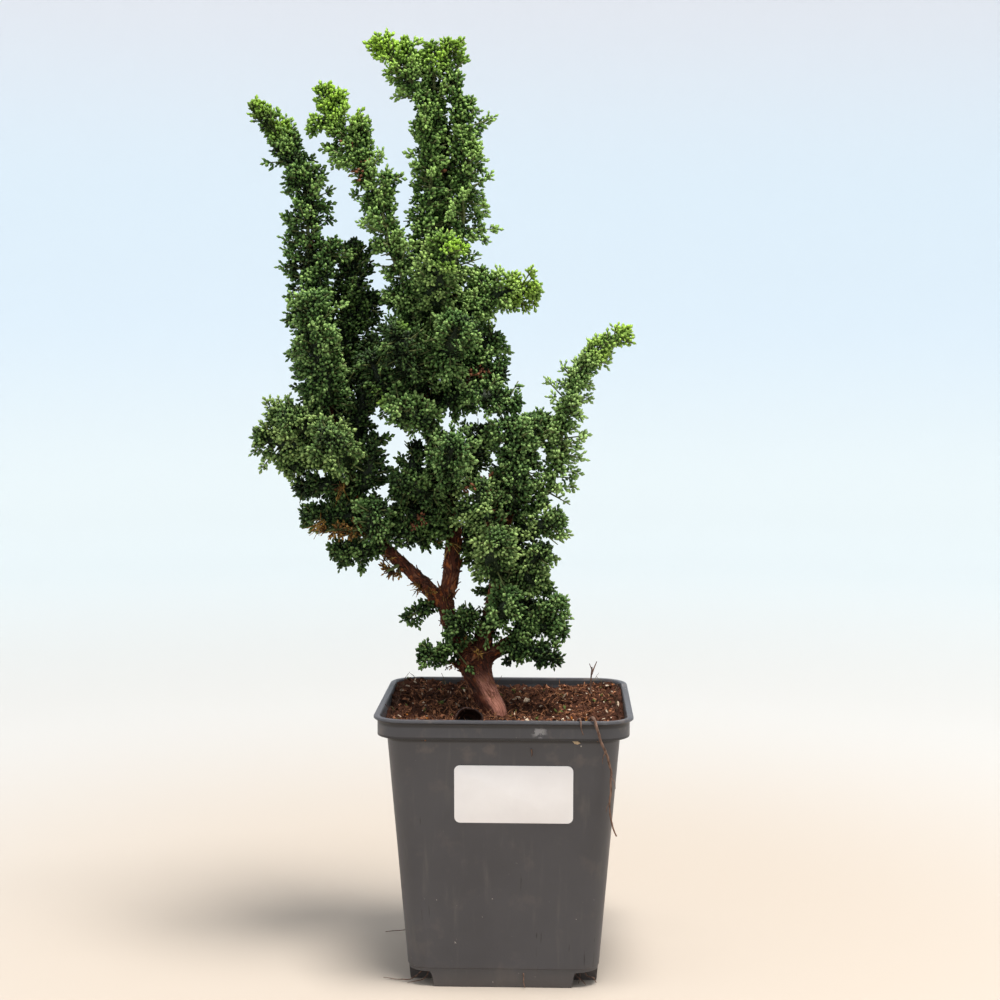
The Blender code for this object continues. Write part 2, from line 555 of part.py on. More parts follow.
def tube(name, points, radii, sides, collection):
    """A solid tube of changing radius: a bevelled curve, made a mesh with its caps welded."""
    curve = bpy.data.curves.new(name, "CURVE")
    curve.dimensions = "3D"
    curve.bevel_depth = MM
    curve.bevel_resolution = (sides - 4) // 2
    curve.use_fill_caps = True
    spline = curve.splines.new("POLY")
    spline.points.add(len(points) - 1)
    for knot, point, radius in zip(spline.points, points, radii):
        knot.co = (*[MM * value for value in point], 1.0)
        knot.radius = radius
    way = bpy.data.objects.new(name, curve)
    collection.objects.link(way)
    graph = bpy.context.evaluated_depsgraph_get()
    mesh = bpy.data.meshes.new_from_object(way.evaluated_get(graph))
    bpy.data.objects.remove(way)
    bm = bmesh.new()
    bm.from_mesh(mesh)
    bmesh.ops.remove_doubles(bm, verts=bm.verts, dist=0.00002)
    bmesh.ops.recalc_face_normals(bm, faces=bm.faces)
    bm.to_mesh(mesh)
    bm.free()
    mesh.name = name
    obj = bpy.data.objects.new(name, mesh)
    collection.objects.link(obj)
    return obj


def limb_path(points):
    """The smooth way of a limb with its radius as a fourth value, a little uneven as old wood is."""
    path = smooth_path(points, LIMB_STEP)
    for i in range(1, len(path) - 1):
        if path[i][2] > BARE_FOOT:
            path[i][3] *= 1 + 0.12 * noise.noise(Vector(path[i][:3]) * 0.2)
    return path


def make_wood(parts):
    """Trunk, limbs and stubs: one piece, as it grew."""
    pieces = helper_collection("wood_pieces")
    trunk = None
    for name, sides, points in LIMBS:
        path = limb_path(points)
        home = parts if trunk is None else pieces
        made = tube(name, path[:, :3], path[:, 3], sides, home)
        trunk = trunk or made
    trunk.name = "trunk_and_branches"
    boolean(trunk, "UNION", pieces)
    emptied(pieces)
    return finish(trunk, "bark", 40)


def wood_samples():
    """Points along all the wood, with the wood's radius at each."""
    return np.vstack([smooth_path(limb_path(points), 1.0) for _, _, points in LIMBS])


def surface_of(obj):
    """A tree for finding where a line meets an object's surface, in millimetres."""
    points = [vert.co / MM for vert in obj.data.vertices]
    return BVHTree.FromPolygons(points, [face.vertices for face in obj.data.polygons])


def leafy_way(way, wood_surface):
    """The way of a shoot's stem from just off its limb: it starts on the limb's axis in the table."""
    inside, outside = Vector(way[0]), Vector(way[1])
    inward = (inside - outside).normalized()
    spot, normal, _, _ = wood_surface.ray_cast(outside, inward)
    slant = math.sqrt(max(0.0, 1 - normal.dot(inward) ** 2))
    start = spot - inward * (CLEAR + FOOT_RADIUS * slant / max(0.4, abs(normal.dot(inward))))
    return [start, *way[1:]]


def distance_to(points, targets):
    """For each point, the distance to each of the target points."""
    return np.linalg.norm(np.asarray(points)[:, None, :] - targets[None, :, :], axis=2)


class Crown:
    """The space of the crown: which shoot each place belongs to, where wood is and where sky shows."""

    def __init__(self, rows, wood):
        surface = surface_of(wood)
        self.ways = [leafy_way(way, surface) for _, _, _, _, way in rows]
        self.spines = []
        for (name, _, _, _, _), way in zip(rows, self.ways):
            stems = [smooth_path(way)]
            stems += [smooth_path(fork) for shoot, _, _, fork in FORKS if shoot == name]
            self.spines.append(np.vstack(stems))
        self.wood = wood_samples()

    def room(self, index, points):
        """How much further each point is from the nearest other shoot than from its own."""
        others = np.vstack([spine for i, spine in enumerate(self.spines) if i != index])
        return distance_to(points, others).min(axis=1) - distance_to(points, self.spines[index]).min(axis=1)

    def clear_for_mass(self, index, points):
        """Whether points of an inner mass are clear of the other shoots, of wood and of the gaps."""
        return (self.room(index, points).min() > MASS_MARGIN and not self.in_sky_gap(points)
                and self.wood_room(points).min() > MASS_WOOD_MARGIN)

    def wood_room(self, points):
        """Distance from each point to the nearest wood's surface."""
        return (distance_to(points, self.wood[:, :3]) - self.wood[:, 3]).min(axis=1)

    def in_sky_gap(self, points):
        """Whether a point lies in a see-through place, as seen from the front."""
        eye = np.array(SEEN_FROM)
        seen = eye + (np.asarray(points) - eye) * (-eye[1] / (np.asarray(points)[:, 1:2] - eye[1]))
        return any(np.hypot(seen[:, 0] - x, seen[:, 2] - z).min() < radius for x, z, radius in SKY_GAPS)

    def free(self, index, points):
        """Whether a spray with these points, but for its root, crosses nothing."""
        return (self.room(index, points).min() > CELL_MARGIN and self.wood_room(points).min() > WOOD_MARGIN
                and points[:, 2].min() > LOWEST_LEAF and not self.in_sky_gap(points))


def spray_outline(lobes, rng):
    """Root, lobe tips and the notches between them: along the spray, across it and off its plane."""
    outline = [(0.0, -0.1, 0.0)]
    spread = math.radians(rng.uniform(46, 56))
    for i in range(lobes):
        turn = spread * (2 * i / (lobes - 1) - 1)
        reach = (1.0 - 0.26 * (turn / spread) ** 2) * rng.uniform(0.92, 1.06)
        if i:
            middle = turn - spread / (lobes - 1)
            notch = (0.76 - 0.2 * (middle / spread) ** 2) * rng.uniform(0.92, 1.04)
            outline.append((notch * math.cos(middle), notch * math.sin(middle), 0.0))
        outline.append((reach * math.cos(turn), reach * math.sin(turn), rng.uniform(-0.06, 0.06)))
    outline.append((0.0, 0.1, 0.0))
    return outline


def spray_points(root, along, face, length, lobes, rng):
    """A spray's points in space: the outline, drooping towards its tips, then both ribs."""
    along = along.normalized()
    across = face.cross(along).normalized()
    face = along.cross(across)
    droop = rng.uniform(0.05, 0.22)
    points = []
    for x, y, z in spray_outline(lobes, rng):
        off = z - droop * (x * x + y * y)
        points.append(root + (along * x + across * y + face * off) * length)
    rib = 0.42
    middle = root + along * (rib * length) - face * (droop * rib * rib * length)
    points.append(middle + face * (SPRAY_THICK / 2))
    points.append(middle - face * (SPRAY_THICK / 2))
    return points


def spray_mesh(name, points, collection):
    """A closed spray: its outline drawn up to the rib on one face and down to it on the other."""
    bm = bmesh.new()
    verts = [bm.verts.new(point) for point in points]
    outline, upper, lower = verts[:-2], verts[-2], verts[-1]
    for a, b in zip(outline, outline[1:] + outline[:1]):
        bm.faces.new((a, b, upper))
        bm.faces.new((b, a, lower))
    bmesh.ops.recalc_face_normals(bm, faces=bm.faces)
    return add_mesh(name, bm, collection)


def spray_places(path, reaches, rng):
    """Start, direction, face, length and sunk depth of each spray, turned by the golden angle up the
    stem. The last one carries on from the stem's tip."""
    places = []
    phase = rng.uniform(0, 2 * math.pi)
    stem = np.linalg.norm(np.diff(path, axis=0), axis=1).sum()
    count = round(SPRAY_EXTRA + stem / SPRAY_SPACING)
    for i in range(count):
        share = (i + 0.35) / (count - 0.65)
        spot = share * (len(path) - 1)
        low = min(int(spot), len(path) - 2)
        start = Vector(path[low]).lerp(Vector(path[low + 1]), spot - low)
        ahead = Vector(path[min(low + 3, len(path) - 1)]) - Vector(path[max(low - 2, 0)])
        ahead.normalize()
        length = (SPRAY_SHARE * (reaches[0] + (reaches[1] - reaches[0]) * share) + SPRAY_SUNK)
        length *= rng.uniform(0.9, 1.1)
        out = Matrix.Rotation(phase + i * GOLDEN_ANGLE, 3, ahead) @ ahead.orthogonal().normalized()
        if i == count - 1:
            places.append((start, ahead, out, length, TIP_SUNK))
            continue
        tilt = math.radians(58 - 30 * share) + rng.uniform(-0.12, 0.12)
        along = (out * math.sin(tilt) + ahead * math.cos(tilt) + Vector((0, 0, 0.1))).normalized()
        face = Matrix.Rotation(rng.uniform(-0.5, 0.5), 3, along) @ (ahead - out)
        places.append((start, along, face, length, SPRAY_SUNK))
    return places


def check_points(points):
    """Points of a spray that the clearance rule looks at: all but its root, and mid-edges too."""
    tips = np.array(points[1:-3])
    ribs = np.array(points[-2:])
    between = (tips[1:] + tips[:-1]) / 2
    inner = np.vstack([(tips + rib) / 2 for rib in ribs])
    return np.vstack([tips, ribs, between, inner])


def swell(share):
    """How wide a stem's leafy mass is along its length: slim at the limb, and smaller at the tip."""
    return min(1.0, 0.45 + 2.6 * share) * (1.0 - 0.35 * max(0.0, share - 0.75) / 0.25)


def ruffled_rings(crown, index, path, reaches, rng):
    """Rings of a stem's leafy mass. Every other point stands out and leans ahead, as tufts of small
    sprays do, and each is drawn in until it is clear of other shoots, of wood and of the gaps."""
    rings = []
    side = None
    sides = RUFFLE_SIDES[max(reaches) > WIDE_MASS]
    for i, centre in enumerate(path):
        centre = Vector(centre)
        ahead = Vector(path[min(i + 1, len(path) - 1)]) - Vector(path[max(i - 1, 0)])
        ahead.normalize()
        side = ahead.orthogonal() if side is None else side - ahead * side.dot(ahead)
        side.normalize()
        share = i / (len(path) - 1)
        reach = (reaches[0] + (reaches[1] - reaches[0]) * share) * swell(share)
        ring = []
        for k in range(sides):
            out = Matrix.Rotation(2 * math.pi * k / sides, 3, ahead) @ side
            stands = (k + i) % 2
            far = reach * (RUFFLE_OUT if stands else RUFFLE_IN) * rng.uniform(0.82, 1.18)
            lean = ahead * (RUFFLE_LEAN * RUFFLE_STEP * (1 if stands else -1))
            if i == 0:
                ring.append(centre + out * FOOT_RADIUS)
                continue
            for draw in RUFFLE_DRAWS:
                point = centre + (out * far + lean) * draw
                if crown.clear_for_mass(index, np.array([point])):
                    break
            ring.append(point)
        rings.append(ring)
    return rings


def ruffled_mass(name, path, rings, collection):
    """The closed leafy mass through its rings, with a point beyond the last one."""
    bm = bmesh.new()
    loops = [[bm.verts.new(point) for point in ring] for ring in rings[:-1]]
    end = bm.verts.new(path[-1])
    bm.faces.new(loops[0])
    for i, (lower, upper) in enumerate(zip(loops, loops[1:])):
        for k in range(len(lower)):
            j = (k + 1) % len(lower)
            if (k + i) % 2:
                faces = ((lower[k], lower[j], upper[k]), (lower[j], upper[j], upper[k]))
            else:
                faces = ((lower[k], lower[j], upper[j]), (lower[k], upper[j], upper[k]))
            for face in faces:
                bm.faces.new(face)
    for a, b in zip(loops[-1], loops[-1][1:] + loops[-1][:1]):
        bm.faces.new((a, b, end))
    bmesh.ops.recalc_face_normals(bm, faces=bm.faces)
    return add_mesh(name, bm, collection)


def add_sprays(index, path, mass, reaches, crown, rng, sprays):
    """Sprays along one stem, each made smaller or left out where it would cross something."""
    surface = surface_of(mass)
    for start, along, face, length, sunk in spray_places(path, reaches, rng):
        depth = surface.ray_cast(start, along)[3] or 0.0
        root = start + along * max(0.0, depth - sunk)
        lobes = 5 if length > LONG_SPRAY else 4 if length > SHORT_SPRAY else 3
        state = rng.getstate()
        for share in SPRAY_SHARES:
            rng.setstate(state)
            points = spray_points(root, along, face, length * share, lobes, rng)
            if crown.free(index, check_points(points)):
                spray_mesh("spray", points, sprays)
                break


def make_shoot(index, row, crown, parts):
    """One leafy shoot: its inner masses and their sprays, joined in one body."""
    name, tone, first_reach, last_reach, _ = row
    rng = random.Random(41 + index)
    sprays = helper_collection(name + "_sprays")
    stems = [(first_reach, last_reach, crown.ways[index])]
    stems += [(first, last, fork) for shoot, first, last, fork in FORKS if shoot == name]
    body = None
    for first, last, stem in stems:
        rough = smooth_path(stem, RUFFLE_STEP)
        rings = ruffled_rings(crown, index, rough, (first, last), rng)
        made = ruffled_mass(name, rough, rings, parts if body is None else sprays)
        body = body or made
        add_sprays(index, smooth_path(stem), made, (first, last), crown, rng, sprays)
    if len(sprays.objects):
        boolean(body, "UNION", sprays, "MANIFOLD")
        keep_one_body(body)
    emptied(sprays)
    body.name = name if tone == "dead" else "shoot_" + name
    finish(body, tone)


def make_hanging_root(parts):
    """A dry root that comes out of the mix, crosses the rim and hangs down the front wall."""
    path = smooth_path(HANGING_ROOT, 4.0)
    share = np.linspace(0, 1, len(path))
    radii = HANGING_ROOT_RADIUS * (1.15 - 0.55 * share)
    return finish(tube("hanging_root", path, radii, 6, parts), "dry", 60)


def make_soil_twig(parts):
    """A thin dead twig that stands in the mix at the back, with one fork."""
    twig = tube("soil_twig", SOIL_TWIG, SOIL_TWIG_RADII, 6, parts)
    fork = helper_collection("twig_fork")
    tube("fork", SOIL_TWIG_FORK, SOIL_FORK_RADII, 6, fork)
    boolean(twig, "UNION", fork)
    emptied(fork)
    return finish(twig, "dry")


def make_bark_chip(parts):
    """A curled flake of bark that lies half upright on the mix in front of the trunk."""
    long, high, thick = BARK_CHIP_SIZE
    rings = []
    for i in range(7):
        share = i / 6
        angle = math.pi * (0.12 + 0.76 * share)
        x = -long / 2 * math.cos(angle)
        rise = high * math.sin(angle)
        y = -thick * 0.25 * math.sin(angle)
        rings.append([(x, y - 0.6, 0.0), (x, y + 0.6, 0.0), (x, y + 0.3 - rise * 0.25, rise),
                      (x, y - 0.5 - rise * 0.25, rise)])
    bm = lofted(rings)
    bmesh.ops.translate(bm, vec=BARK_CHIP, verts=bm.verts)
    return finish(add_mesh("bark_chip", bm, parts), "dry")


def cleared_scene():
    for obj in list(bpy.data.objects):
        bpy.data.objects.remove(obj)


def main():
    cleared_scene()
    parts = helper_collection("hinoki_bonsai")
    cutters = helper_collection("cutters")
    make_pot(parts, cutters)
    make_soil(parts)
    make_label(parts)
    wood = make_wood(parts)
    rows = SHOOTS + DEAD_SPRIGS
    crown = Crown(rows, wood)
    for index, row in enumerate(rows):
        make_shoot(index, row, crown, parts)
    make_hanging_root(parts)
    make_soil_twig(parts)
    make_bark_chip(parts)


main()
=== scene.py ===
# %% [markdown]
# # A hinoki cypress bonsai in a square nursery pot
#
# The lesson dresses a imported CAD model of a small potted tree. The CAD part gives the sizes, the way of
# every limb and the place of every leafy shoot. Here each of its pieces gets the finish and the fine
# shape that a close look at the real plant shows. Everything is in metres, +Z up, with the middle of the
# pot's base at the origin and the tree's front facing -Y. Tables are in millimetres and are turned into
# metres where a mesh is made.

import math
import random

import bmesh
import bpy
import numpy as np
from mathutils import Matrix, Vector, noise


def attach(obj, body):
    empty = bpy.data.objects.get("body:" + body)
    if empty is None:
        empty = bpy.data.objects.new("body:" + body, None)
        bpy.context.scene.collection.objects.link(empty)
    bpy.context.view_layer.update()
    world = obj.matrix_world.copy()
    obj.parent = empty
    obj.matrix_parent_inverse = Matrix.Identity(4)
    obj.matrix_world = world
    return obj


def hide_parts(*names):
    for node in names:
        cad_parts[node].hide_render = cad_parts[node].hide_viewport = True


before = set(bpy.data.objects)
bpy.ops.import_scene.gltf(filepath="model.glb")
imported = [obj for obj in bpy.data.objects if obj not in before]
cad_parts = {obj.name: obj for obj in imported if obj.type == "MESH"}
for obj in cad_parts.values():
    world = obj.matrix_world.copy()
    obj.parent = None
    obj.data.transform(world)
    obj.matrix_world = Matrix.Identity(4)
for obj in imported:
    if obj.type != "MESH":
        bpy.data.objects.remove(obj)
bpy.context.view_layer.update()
MM = 0.001
noise.seed_set(5)                         # without it, the vector noise of the strands differs in each run

# %% [markdown]
# ## Camera and studio
#
# The photograph was taken from a little above the middle of the crown with a short telephoto view, so the
# camera stands 0.83 m in front and looks down by about four degrees. The pot's rim and base fix its place.
# The tree stands in a pale shallow bowl, which is a floor that rises far away on all sides, so there is
# no horizon line from any direction. Light comes from wide soft lamps and from an even sky.

# %% Camera
CAMERA_PLACE = (22.75, -834.05, 268.61)
CAMERA_TURN, CAMERA_DOWN, CAMERA_ROLL = 1.761, 4.296, 0.138
camera_data = bpy.data.cameras.new("camera")
camera_data.sensor_width = 36.0
camera_data.lens = 68.37
camera = bpy.data.objects.new("camera", camera_data)
bpy.context.scene.collection.objects.link(camera)
camera.matrix_world = (Matrix.Translation([v * MM for v in CAMERA_PLACE])
                       @ Matrix.Rotation(math.radians(CAMERA_TURN), 4, "Z")
                       @ Matrix.Rotation(math.radians(90 - CAMERA_DOWN), 4, "X")
                       @ Matrix.Rotation(math.radians(CAMERA_ROLL), 4, "Z"))
bpy.context.scene.camera = camera
print("camera lens", camera_data.lens, "mm")

# %% Small helpers for working as by hand


def deselect_everything():
    """Back to object mode with nothing selected: the loaded nodes start out selected."""
    if bpy.context.mode != "OBJECT":
        bpy.ops.object.mode_set(mode="OBJECT")
    bpy.ops.object.select_all(action="DESELECT")


def active_object(name):
    """Name the primitive that was just added, and put its place into its mesh."""
    obj = bpy.context.object
    obj.name = obj.data.name = name
    bpy.ops.object.transform_apply(location=True, rotation=True, scale=True)
    return obj


def make_active(obj):
    """Select one object alone, and make it the one that operators act on."""
    deselect_everything()
    obj.select_set(True)
    bpy.context.view_layer.objects.active = obj


def start_edit(obj):
    make_active(obj)
    bpy.ops.object.mode_set(mode="EDIT")
    bpy.ops.mesh.select_all(action="DESELECT")


def choose(obj, kind, test):
    """In edit mode, select the vertices, edges or faces whose middle passes a test."""
    bpy.ops.mesh.select_mode(type=kind)
    bpy.ops.mesh.select_all(action="DESELECT")
    bm = bmesh.from_edit_mesh(obj.data)
    for item in {"VERT": bm.verts, "EDGE": bm.edges, "FACE": bm.faces}[kind]:
        if kind == "VERT":
            middle = item.co
        else:
            middle = sum((vert.co for vert in item.verts), Vector()) / len(item.verts)
        item.select_set(test(middle))
    bm.select_flush_mode()
    bmesh.update_edit_mesh(obj.data)


def choose_rim(obj):
    """In edit mode, select the open edges round a sheet."""
    choose(obj, "EDGE", lambda middle: False)
    bm = bmesh.from_edit_mesh(obj.data)
    for edge in bm.edges:
        edge.select_set(edge.is_boundary)
    bmesh.update_edit_mesh(obj.data)


def end_edit():
    bpy.ops.object.mode_set(mode="OBJECT")


def apply_modifier(obj, kind, **settings):
    """Add a modifier with its settings and keep its result."""
    make_active(obj)
    made = obj.modifiers.new(kind.lower(), kind)
    for key, value in settings.items():
        setattr(made, key, value)
    bpy.ops.object.modifier_apply(modifier=made.name)


def outward(obj):
    """Merge doubled points and turn all faces outwards."""
    start_edit(obj)
    bpy.ops.mesh.select_all(action="SELECT")
    bpy.ops.mesh.remove_doubles(threshold=0.000002)
    bpy.ops.mesh.normals_make_consistent(inside=False)
    end_edit()


pieces_made = {}


def keep(obj, slot, *nodes, smooth=None):
    """A finished piece: it rides on the tree and stands for its CAD nodes; its slot is not used."""
    make_active(obj)
    if smooth is not None:
        bpy.ops.object.shade_smooth_by_angle(angle=math.radians(smooth))
    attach(obj, "root")
    if nodes:
        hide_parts(*nodes)
    pieces_made[obj.name] = sum(len(face.vertices) - 2 for face in obj.data.polygons)
    return obj


# %% Floor and lamps
FLAT_FLOOR = 1.6                             # metres from the pot to where the floor begins to rise
BOWL_STEPS = ((0.04, 1.16), (0.12, 1.12), (0.24, 1.10), (0.4, 1.06), (0.8, 1.03))   # rise, growth
deselect_everything()
bpy.ops.mesh.primitive_circle_add(vertices=96, radius=FLAT_FLOOR, fill_type="NGON")
floor = active_object("floor")
start_edit(floor)
for rise, grow in BOWL_STEPS:
    choose_rim(floor)
    bpy.ops.mesh.extrude_edges_move(TRANSFORM_OT_translate={"value": (0, 0, rise)})
    bpy.ops.transform.resize(value=(grow, grow, 1), center_override=(0, 0, 0))
end_edit()
bpy.ops.object.shade_smooth()


def lamp(name, place, aim, size, power, colour):
    """A square soft lamp that looks at a point."""
    data = bpy.data.lights.new(name, "AREA")
    data.shape, data.size, data.energy, data.color = "SQUARE", size, power, colour
    obj = bpy.data.objects.new(name, data)
    bpy.context.scene.collection.objects.link(obj)
    obj.location = place
    obj.rotation_euler = (Vector(aim) - Vector(place)).to_track_quat("-Z", "Y").to_euler()


lamp("lamp_top", (0.17, -0.30, 1.50), (-0.02, 0, 0.2), 0.50, 35, (1.0, 0.975, 0.94))
lamp("lamp_left", (-1.2, -0.7, 0.8), (-0.02, 0, 0.22), 1.8, 3.6, (0.97, 0.98, 1.0))
lamp("lamp_right", (1.2, -0.6, 0.9), (-0.02, 0, 0.22), 2.2, 4.0, (1.0, 0.98, 0.95))
world = bpy.data.worlds.new("studio_sky")
world.use_nodes = True
sky = world.node_tree.nodes["Background"].inputs
sky["Color"].default_value, sky["Strength"].default_value = (0.92, 0.96, 1.0, 1), 0.68
bpy.context.scene.world = world
bpy.context.scene.view_settings.view_transform = "Standard"
print("stage:", floor.name, len(floor.data.polygons), "faces")

# %% [markdown]
# ## Finishes that several pieces share
#
# Nothing on a living plant or on a used pot has one flat colour. Two node groups give the variation: soft
# mottling in patches of a chosen size, and a fine scaly relief. Each material places them with its own
# sizes and keeps its own shader. They read object coordinates, so the pattern stays on the piece.

# %% Shared node groups


def add_node(tree, kind, **settings):
    made = tree.nodes.new(kind)
    for key, value in settings.items():
        setattr(made, key, value)
    return made


def new_group(name, inputs, outputs):
    """A node group with named sockets: name, kind and default of each input."""
    group = bpy.data.node_groups.new(name, "ShaderNodeTree")
    for label, kind, value in inputs:
        socket = group.interface.new_socket(label, in_out="INPUT", socket_type=kind)
        if value is not None:
            socket.default_value = value
    for label, kind in outputs:
        group.interface.new_socket(label, in_out="OUTPUT", socket_type=kind)
    return group, add_node(group, "NodeGroupInput"), add_node(group, "NodeGroupOutput")


def feed(tree, value, socket):
    """A number, a colour or the socket of another node goes into a socket."""
    if isinstance(value, bpy.types.NodeSocket):
        tree.links.new(value, socket)
    else:
        socket.default_value = value if isinstance(value, (int, float)) else (*value, 1.0)


def calc(tree, operation, *values):
    """A Math node of up to three inputs."""
    made = add_node(tree, "ShaderNodeMath", operation=operation)
    for value, socket in zip(values, made.inputs):
        feed(tree, value, socket)
    return made.outputs[0]


def soft_step(tree, value, low, high, to_low=0.0, to_high=1.0):
    """A value's soft way from to_low, below low, to to_high, above high."""
    made = add_node(tree, "ShaderNodeMapRange", interpolation_type="SMOOTHSTEP")
    for label, number in (("Value", value), ("From Min", low), ("From Max", high), ("To Min", to_low),
                          ("To Max", to_high)):
        feed(tree, number, made.inputs[label])
    return made.outputs["Result"]


def mixed_colour(tree, share, first, second, kind="MIX"):
    """A colour between two; share says how much of the second is in it."""
    made = add_node(tree, "ShaderNodeMix", data_type="RGBA", blend_type=kind)
    for value, socket in ((share, made.inputs[0]), (first, made.inputs[6]), (second, made.inputs[7])):
        feed(tree, value, socket)
    return made.outputs[2]


def make_mottle():
    """Patches between 0 and 1, with an adjustable middle and softness."""
    group, enter, leave = new_group(
        "mottle", [("Place", "NodeSocketVector", None), ("Size", "NodeSocketFloat", 0.01),
                   ("Level", "NodeSocketFloat", 0.5), ("Softness", "NodeSocketFloat", 0.15)],
        [("Mask", "NodeSocketFloat")])
    cloud = add_node(group, "ShaderNodeTexNoise")
    cloud.inputs["Detail"].default_value = 4.0
    cloud.inputs["Roughness"].default_value = 0.6
    feed(group, enter.outputs["Place"], cloud.inputs["Vector"])
    feed(group, calc(group, "DIVIDE", 1.0, enter.outputs["Size"]), cloud.inputs["Scale"])
    low, high = (calc(group, operation, enter.outputs["Level"], enter.outputs["Softness"])
                 for operation in ("SUBTRACT", "ADD"))
    feed(group, soft_step(group, cloud.outputs["Fac"], low, high), leave.inputs["Mask"])
    return group


def make_scales():
    """The relief of small overlapping scales or crumbs, as a height between 0 and 1."""
    group, enter, leave = new_group(
        "scales", [("Place", "NodeSocketVector", None), ("Size", "NodeSocketFloat", 0.001)],
        [("Height", "NodeSocketFloat")])
    cells = add_node(group, "ShaderNodeTexVoronoi", feature="SMOOTH_F1")
    cells.inputs["Smoothness"].default_value = 0.4
    feed(group, enter.outputs["Place"], cells.inputs["Vector"])
    feed(group, calc(group, "DIVIDE", 1.0, enter.outputs["Size"]), cells.inputs["Scale"])
    feed(group, calc(group, "SUBTRACT", 1.0, cells.outputs["Distance"]), leave.inputs["Height"])
    return group


MOTTLE, SCALES = make_mottle(), make_scales()


class Finish:
    """A material under construction: its tree, its shader, and short ways to add the shared nodes."""

    def __init__(self, name, roughness, specular=0.5):
        self.material = bpy.data.materials.new(name)
        self.material.use_nodes = True
        self.tree = self.material.node_tree
        self.link = self.tree.links.new
        self.shader = self.tree.nodes["Principled BSDF"]
        self.shader.inputs["Roughness"].default_value = roughness
        self.shader.inputs["Specular IOR Level"].default_value = specular
        self.place = add_node(self.tree, "ShaderNodeTexCoord").outputs["Object"]

    def group(self, group, place=None, **values):
        made = add_node(self.tree, "ShaderNodeGroup", node_tree=group)
        self.link(self.place if place is None else place, made.inputs["Place"])
        for key, value in values.items():
            made.inputs[key].default_value = value
        return made.outputs[0]

    def mix(self, share, first, second, kind="MIX"):
        return mixed_colour(self.tree, share, first, second, kind)

    def math(self, operation, *values):
        return calc(self.tree, operation, *values)

    def span(self, value, low, high, to_low=0.0, to_high=1.0):
        return soft_step(self.tree, value, low, high, to_low, to_high)

    def axes(self):
        """The object coordinates one by one."""
        made = add_node(self.tree, "ShaderNodeSeparateXYZ")
        self.link(self.place, made.inputs[0])
        return made.outputs

    def distance_from(self, point):
        made = add_node(self.tree, "ShaderNodeVectorMath", operation="DISTANCE")
        self.link(self.place, made.inputs[0])
        made.inputs[1].default_value = point
        return made.outputs["Value"]

    def grain(self, sizes, detail, place=None):
        """Noise whose grain has its own size along each axis."""
        scaled = add_node(self.tree, "ShaderNodeVectorMath", operation="MULTIPLY")
        scaled.inputs[1].default_value = tuple(1 / size for size in sizes)
        self.link(self.place if place is None else place, scaled.inputs[0])
        made = add_node(self.tree, "ShaderNodeTexNoise")
        made.inputs["Scale"].default_value = 1.0
        made.inputs["Detail"].default_value = detail
        self.link(scaled.outputs[0], made.inputs["Vector"])
        return made.outputs["Fac"]

    def bump(self, height, depth, strength=1.0):
        """Relief of so many metres, over the relief that was there before."""
        made = add_node(self.tree, "ShaderNodeBump")
        made.inputs["Strength"].default_value = strength
        made.inputs["Distance"].default_value = depth
        self.link(height, made.inputs["Height"])
        before = self.shader.inputs["Normal"].links
        if before:
            self.link(before[0].from_socket, made.inputs["Normal"])
        self.link(made.outputs[0], self.shader.inputs["Normal"])

    def colour(self, socket):
        self.link(socket, self.shader.inputs["Base Color"])
        return self.material

    def attribute(self, name):
        """The red, green, blue and alpha of the piece's own colour attribute."""
        read = add_node(self.tree, "ShaderNodeAttribute", attribute_name=name)
        parts = add_node(self.tree, "ShaderNodeSeparateColor")
        self.link(read.outputs["Color"], parts.inputs[0])
        return [*parts.outputs[:3], read.outputs["Alpha"]]


print("node groups:", [group.name for group in (MOTTLE, SCALES)])

# %% Floor finish
floor_finish = Finish("pale_floor", 0.9)
away, up = floor_finish.distance_from((0, 0, 0)), floor_finish.axes()["Z"]
bowl_colour = (0.465, 0.40, 0.335)
for reading, low, high, colour in ((away, 0.15, 0.65, (0.56, 0.545, 0.52)),
                                   (away, 0.45, 1.75, (0.84, 0.90, 0.90)),
                                   (up, 0.05, 0.35, (0.747, 0.842, 0.915)),
                                   (up, 0.50, 1.00, (0.825, 0.810, 0.845))):
    bowl_colour = floor_finish.mix(floor_finish.span(reading, low, high), bowl_colour, colour)
floor.data.materials.append(floor_finish.colour(bowl_colour))
print("floor finish:", floor.data.materials[0].name)

# %% [markdown]
# ## Ways of the wood and of the leafy shoots
#
# The tree is drawn by the ways of its limbs and stems. A limb's row gives x, y, z and radius of its points.
# A shoot's row gives its tone, how far its leaves reach from the stem at the foot and at the tip, and the
# way from the limb's axis outwards. Side stems belong to the shoot that they leave. The gaps are places
# where one sees through the crown from the front. The ways are the ones that the CAD part was built from,
# so that each fine piece keeps its node's place and form. Some leaves reach a little further than in the
# part and the gaps are a little narrower, because a loose spray looks thinner than a solid one.

